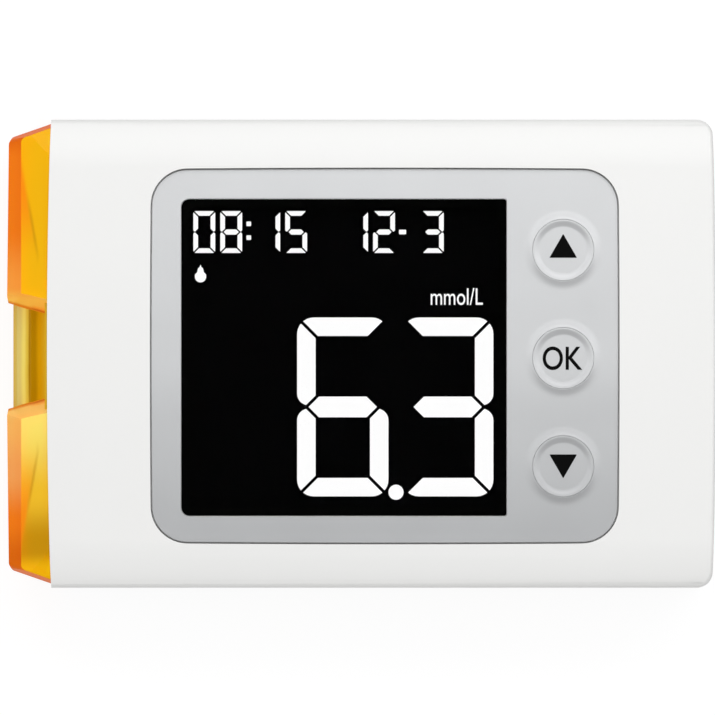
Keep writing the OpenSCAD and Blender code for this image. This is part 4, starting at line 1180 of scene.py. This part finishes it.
def dome(name, place):
    """A soft silicone dome: a flat crown on a slanting web, with a thick foot ring and a hollow below."""
    low, high = span("dome_" + name)
    foot = (high.x - low.x) / 2
    crown = KEY_D / 2 - DOME_FOOT_T
    shoulder = low.z + DOME_FOOT_T
    return turned(name + "_dome", place, [
        (crown - DOME_WEB - 0.15, high.z - DOME_TOP_T), (crown - DOME_WEB, high.z - DOME_TOP_T - 0.08),
        (foot - DOME_WEB - 0.1, low.z + 0.1), (foot - DOME_WEB, low.z), (foot - 0.08, low.z),
        (foot, low.z + 0.08), (foot, shoulder - 0.15), (foot - 0.15, shoulder),
        (foot - DOME_WEB, shoulder + 0.06), (crown + 0.05, high.z - 0.2), (crown - 0.05, high.z - 0.06),
        (crown - 0.2, high.z)], 72)


def socket_tube():
    """The data socket's folded metal tube, open to the outside."""
    low, high = SOCKET_LOW, SOCKET_HIGH
    wall = Vector((SOCKET_WALL, SOCKET_WALL, SOCKET_WALL))
    piece = block("socket_tube", low, high)
    bevel_along(piece, 0, 0.7, 5)
    room = block("socket_room", low + wall, (high.x + OVER, high.y - SOCKET_WALL, high.z - SOCKET_WALL))
    bevel_along(room, 0, 0.42, 5)
    combine(piece, room)
    return soften(face_out(piece), 0.05)


# ---- Stage ----
def add_object(name, data):
    piece = bpy.data.objects.new(name, data)
    bpy.context.scene.collection.objects.link(piece)
    return piece


def camera():
    data = bpy.data.cameras.new("camera")
    data.lens = LENS_MM
    data.sensor_width = SENSOR_MM
    data.clip_end = 10
    piece = add_object("camera", data)
    piece.location = (AIM.x, AIM.y, AIM.z + VIEW_WIDTH * LENS_MM / SENSOR_MM)
    bpy.context.scene.camera = piece


def softbox(name, centre, size, power, mirrored=True):
    """A rectangular lamp that shines on the object."""
    data = bpy.data.lights.new(name, "AREA")
    data.shape = "RECTANGLE"
    data.size, data.size_y = size
    data.energy = power
    piece = add_object(name, data)
    piece.location = centre
    piece.rotation_euler = (LAMP_AIM - Vector(centre)).to_track_quat("-Z", "Y").to_euler()
    piece.visible_camera = False
    piece.visible_glossy = mirrored


def studio_world():
    """White to the camera, an even light on the object, and a soft gradient in what is mirrored."""
    world = bpy.data.worlds.new("studio")
    bpy.context.scene.world = world
    world.use_nodes = True
    tree = world.node_tree
    path = add(tree, "LightPath").outputs
    sky = axes(tree, "Generated")
    ambient = compute(tree, "MULTIPLY_ADD", sky["Y"], 0.02, 0.6)
    fade = map_range(tree, sky["Z"], 0.86, 0.985, 1.3, 0.0)
    gloss_side = compute(tree, "MULTIPLY_ADD", sky["Y"], 0.5, 0.45)
    gloss_side.node.use_clamp = True
    gloss = compute(tree, "MULTIPLY", fade, gloss_side)
    mirror = compute(tree, "MAXIMUM", path["Is Glossy Ray"], path["Is Transmission Ray"])
    level = add(tree, "Mix", Factor=mirror, A=ambient, B=gloss).outputs["Result"]
    level = add(tree, "Mix", Factor=path["Is Camera Ray"], A=level, B=1.0).outputs["Result"]
    put(tree, tree.nodes["Background"], Strength=level, Color=(1, 1, 1))


def floor():
    """A pale floor that looks white and keeps the object's shadow."""
    piece = primitive(bpy.ops.mesh.primitive_plane_add, "floor", size=4.0, location=(0, 0, -FLOOR_GAP))
    material, tree, shader = new_material("pale_floor", Base_Color=(0.18, 0.18, 0.18), Roughness=0.9,
                                          Specular_IOR_Level=0.0, Emission_Color=(1, 1, 1))
    path = add(tree, "LightPath").outputs
    seen = compute(tree, "MAXIMUM", path["Is Camera Ray"],
                   compute(tree, "MAXIMUM", path["Is Glossy Ray"], path["Is Transmission Ray"]))
    put(tree, shader, Emission_Strength=compute(tree, "MULTIPLY", seen, 0.86))
    piece.data.materials.append(material)


# ---- Assembly ----
form = case_form()
pick(form)
bpy.ops.object.duplicate()
form_copy = bpy.context.object
complete(front_shell(form), WHITE, "case", ["front_case"])
complete(rear_shell(form_copy), WHITE, "case", ["rear_case"])
complete(door(), WHITE, "door", ["battery_door"])

complete(silver_panel(), SILVER, "case", ["front_panel"])
for name, place in zip(KEY_NAMES, key_places()):
    complete(key_cap(name, place), KEY_SILVER, name + "_key", ["button_" + name])
    complete(key_print(name, place), BLACK_INK, name + "_key", ())
    soft = complete(dome(name, place), SILICONE, "case", ["dome_" + name])
    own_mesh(soft)

CUT_MARK = bpy.data.materials.new("cut_mark")
amber = named(join(amber_block(1), [amber_block(-1)]), "amber_end")
complete(amber, AMBER, "case", ["end_cap"])
complete(amber_lips(), AMBER_PORT, "case", ())

complete(window_lens(), LENS, "case", ["display_window"])
complete(window_print(), BLACK_PRINT, "case", ())
complete(lit_figures(), LIT, "case", ["lit_segments"])
complete(lettering("unit_sign", "mmol/L", (*UNIT_LOW, LIT_LOW.z), (*UNIT_HIGH, LIT_HIGH.z), 0.01),
         LIT, "case", ())
complete(drop("drop_sign", *DROP_AT, DROP_R, LIT_LOW.z, LIT_HIGH.z), LIT, "case", ())

for node, plus in (("battery_left", 1), ("battery_right", -1)):
    complete(cell(node, plus), CELL_JACKET, "case", [node])
complete(screw_set(), SCREW_STEEL, "case", ["case_screws"])
complete(socket_tube(), BRIGHT_METAL, "case", ["socket_shell"])

# The parts of the frame that keep their own shape
for material, nodes in (
        (BLACK_GLASS, ["display_glass"]), (board_material(), ["main_board"]),
        (CHIP_BLACK, ["processor_chip", "measuring_chip", "memory_chip"]),
        (CERAMIC_TAN, ["small_components"]), (BRIGHT_METAL, ["clock_crystal"]),
        (PLASTIC_BLACK, ["buzzer", "display_holder", "socket_tongue"]),
        (SPRING_STEEL, ["contact_plus", "contact_minus", "contact_bridge"]),
        (elastomer_material(), ["contact_strips"]), (FOAM, ["display_gasket"]), (GUIDE, ["light_guide"]),
        (SILICONE, ["key_mat"]), (CARBON, ["pill_up", "pill_ok", "pill_down"]),
        (IVORY, ["strip_connector"]), (GOLD_LEAF, ["strip_contacts"]), (LAMP, ["strip_lamp"])):
    for node in nodes:
        paint(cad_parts[node], material)

bpy.context.scene.view_settings.view_transform = "Standard"
camera()
studio_world()
floor()
softbox("key_light", (0.03, 0.17, 0.24), (0.5, 0.18), 0.47)
softbox("fill_light", (-0.05, -0.42, 0.45), (0.6, 0.3), 0.84, mirrored=False)
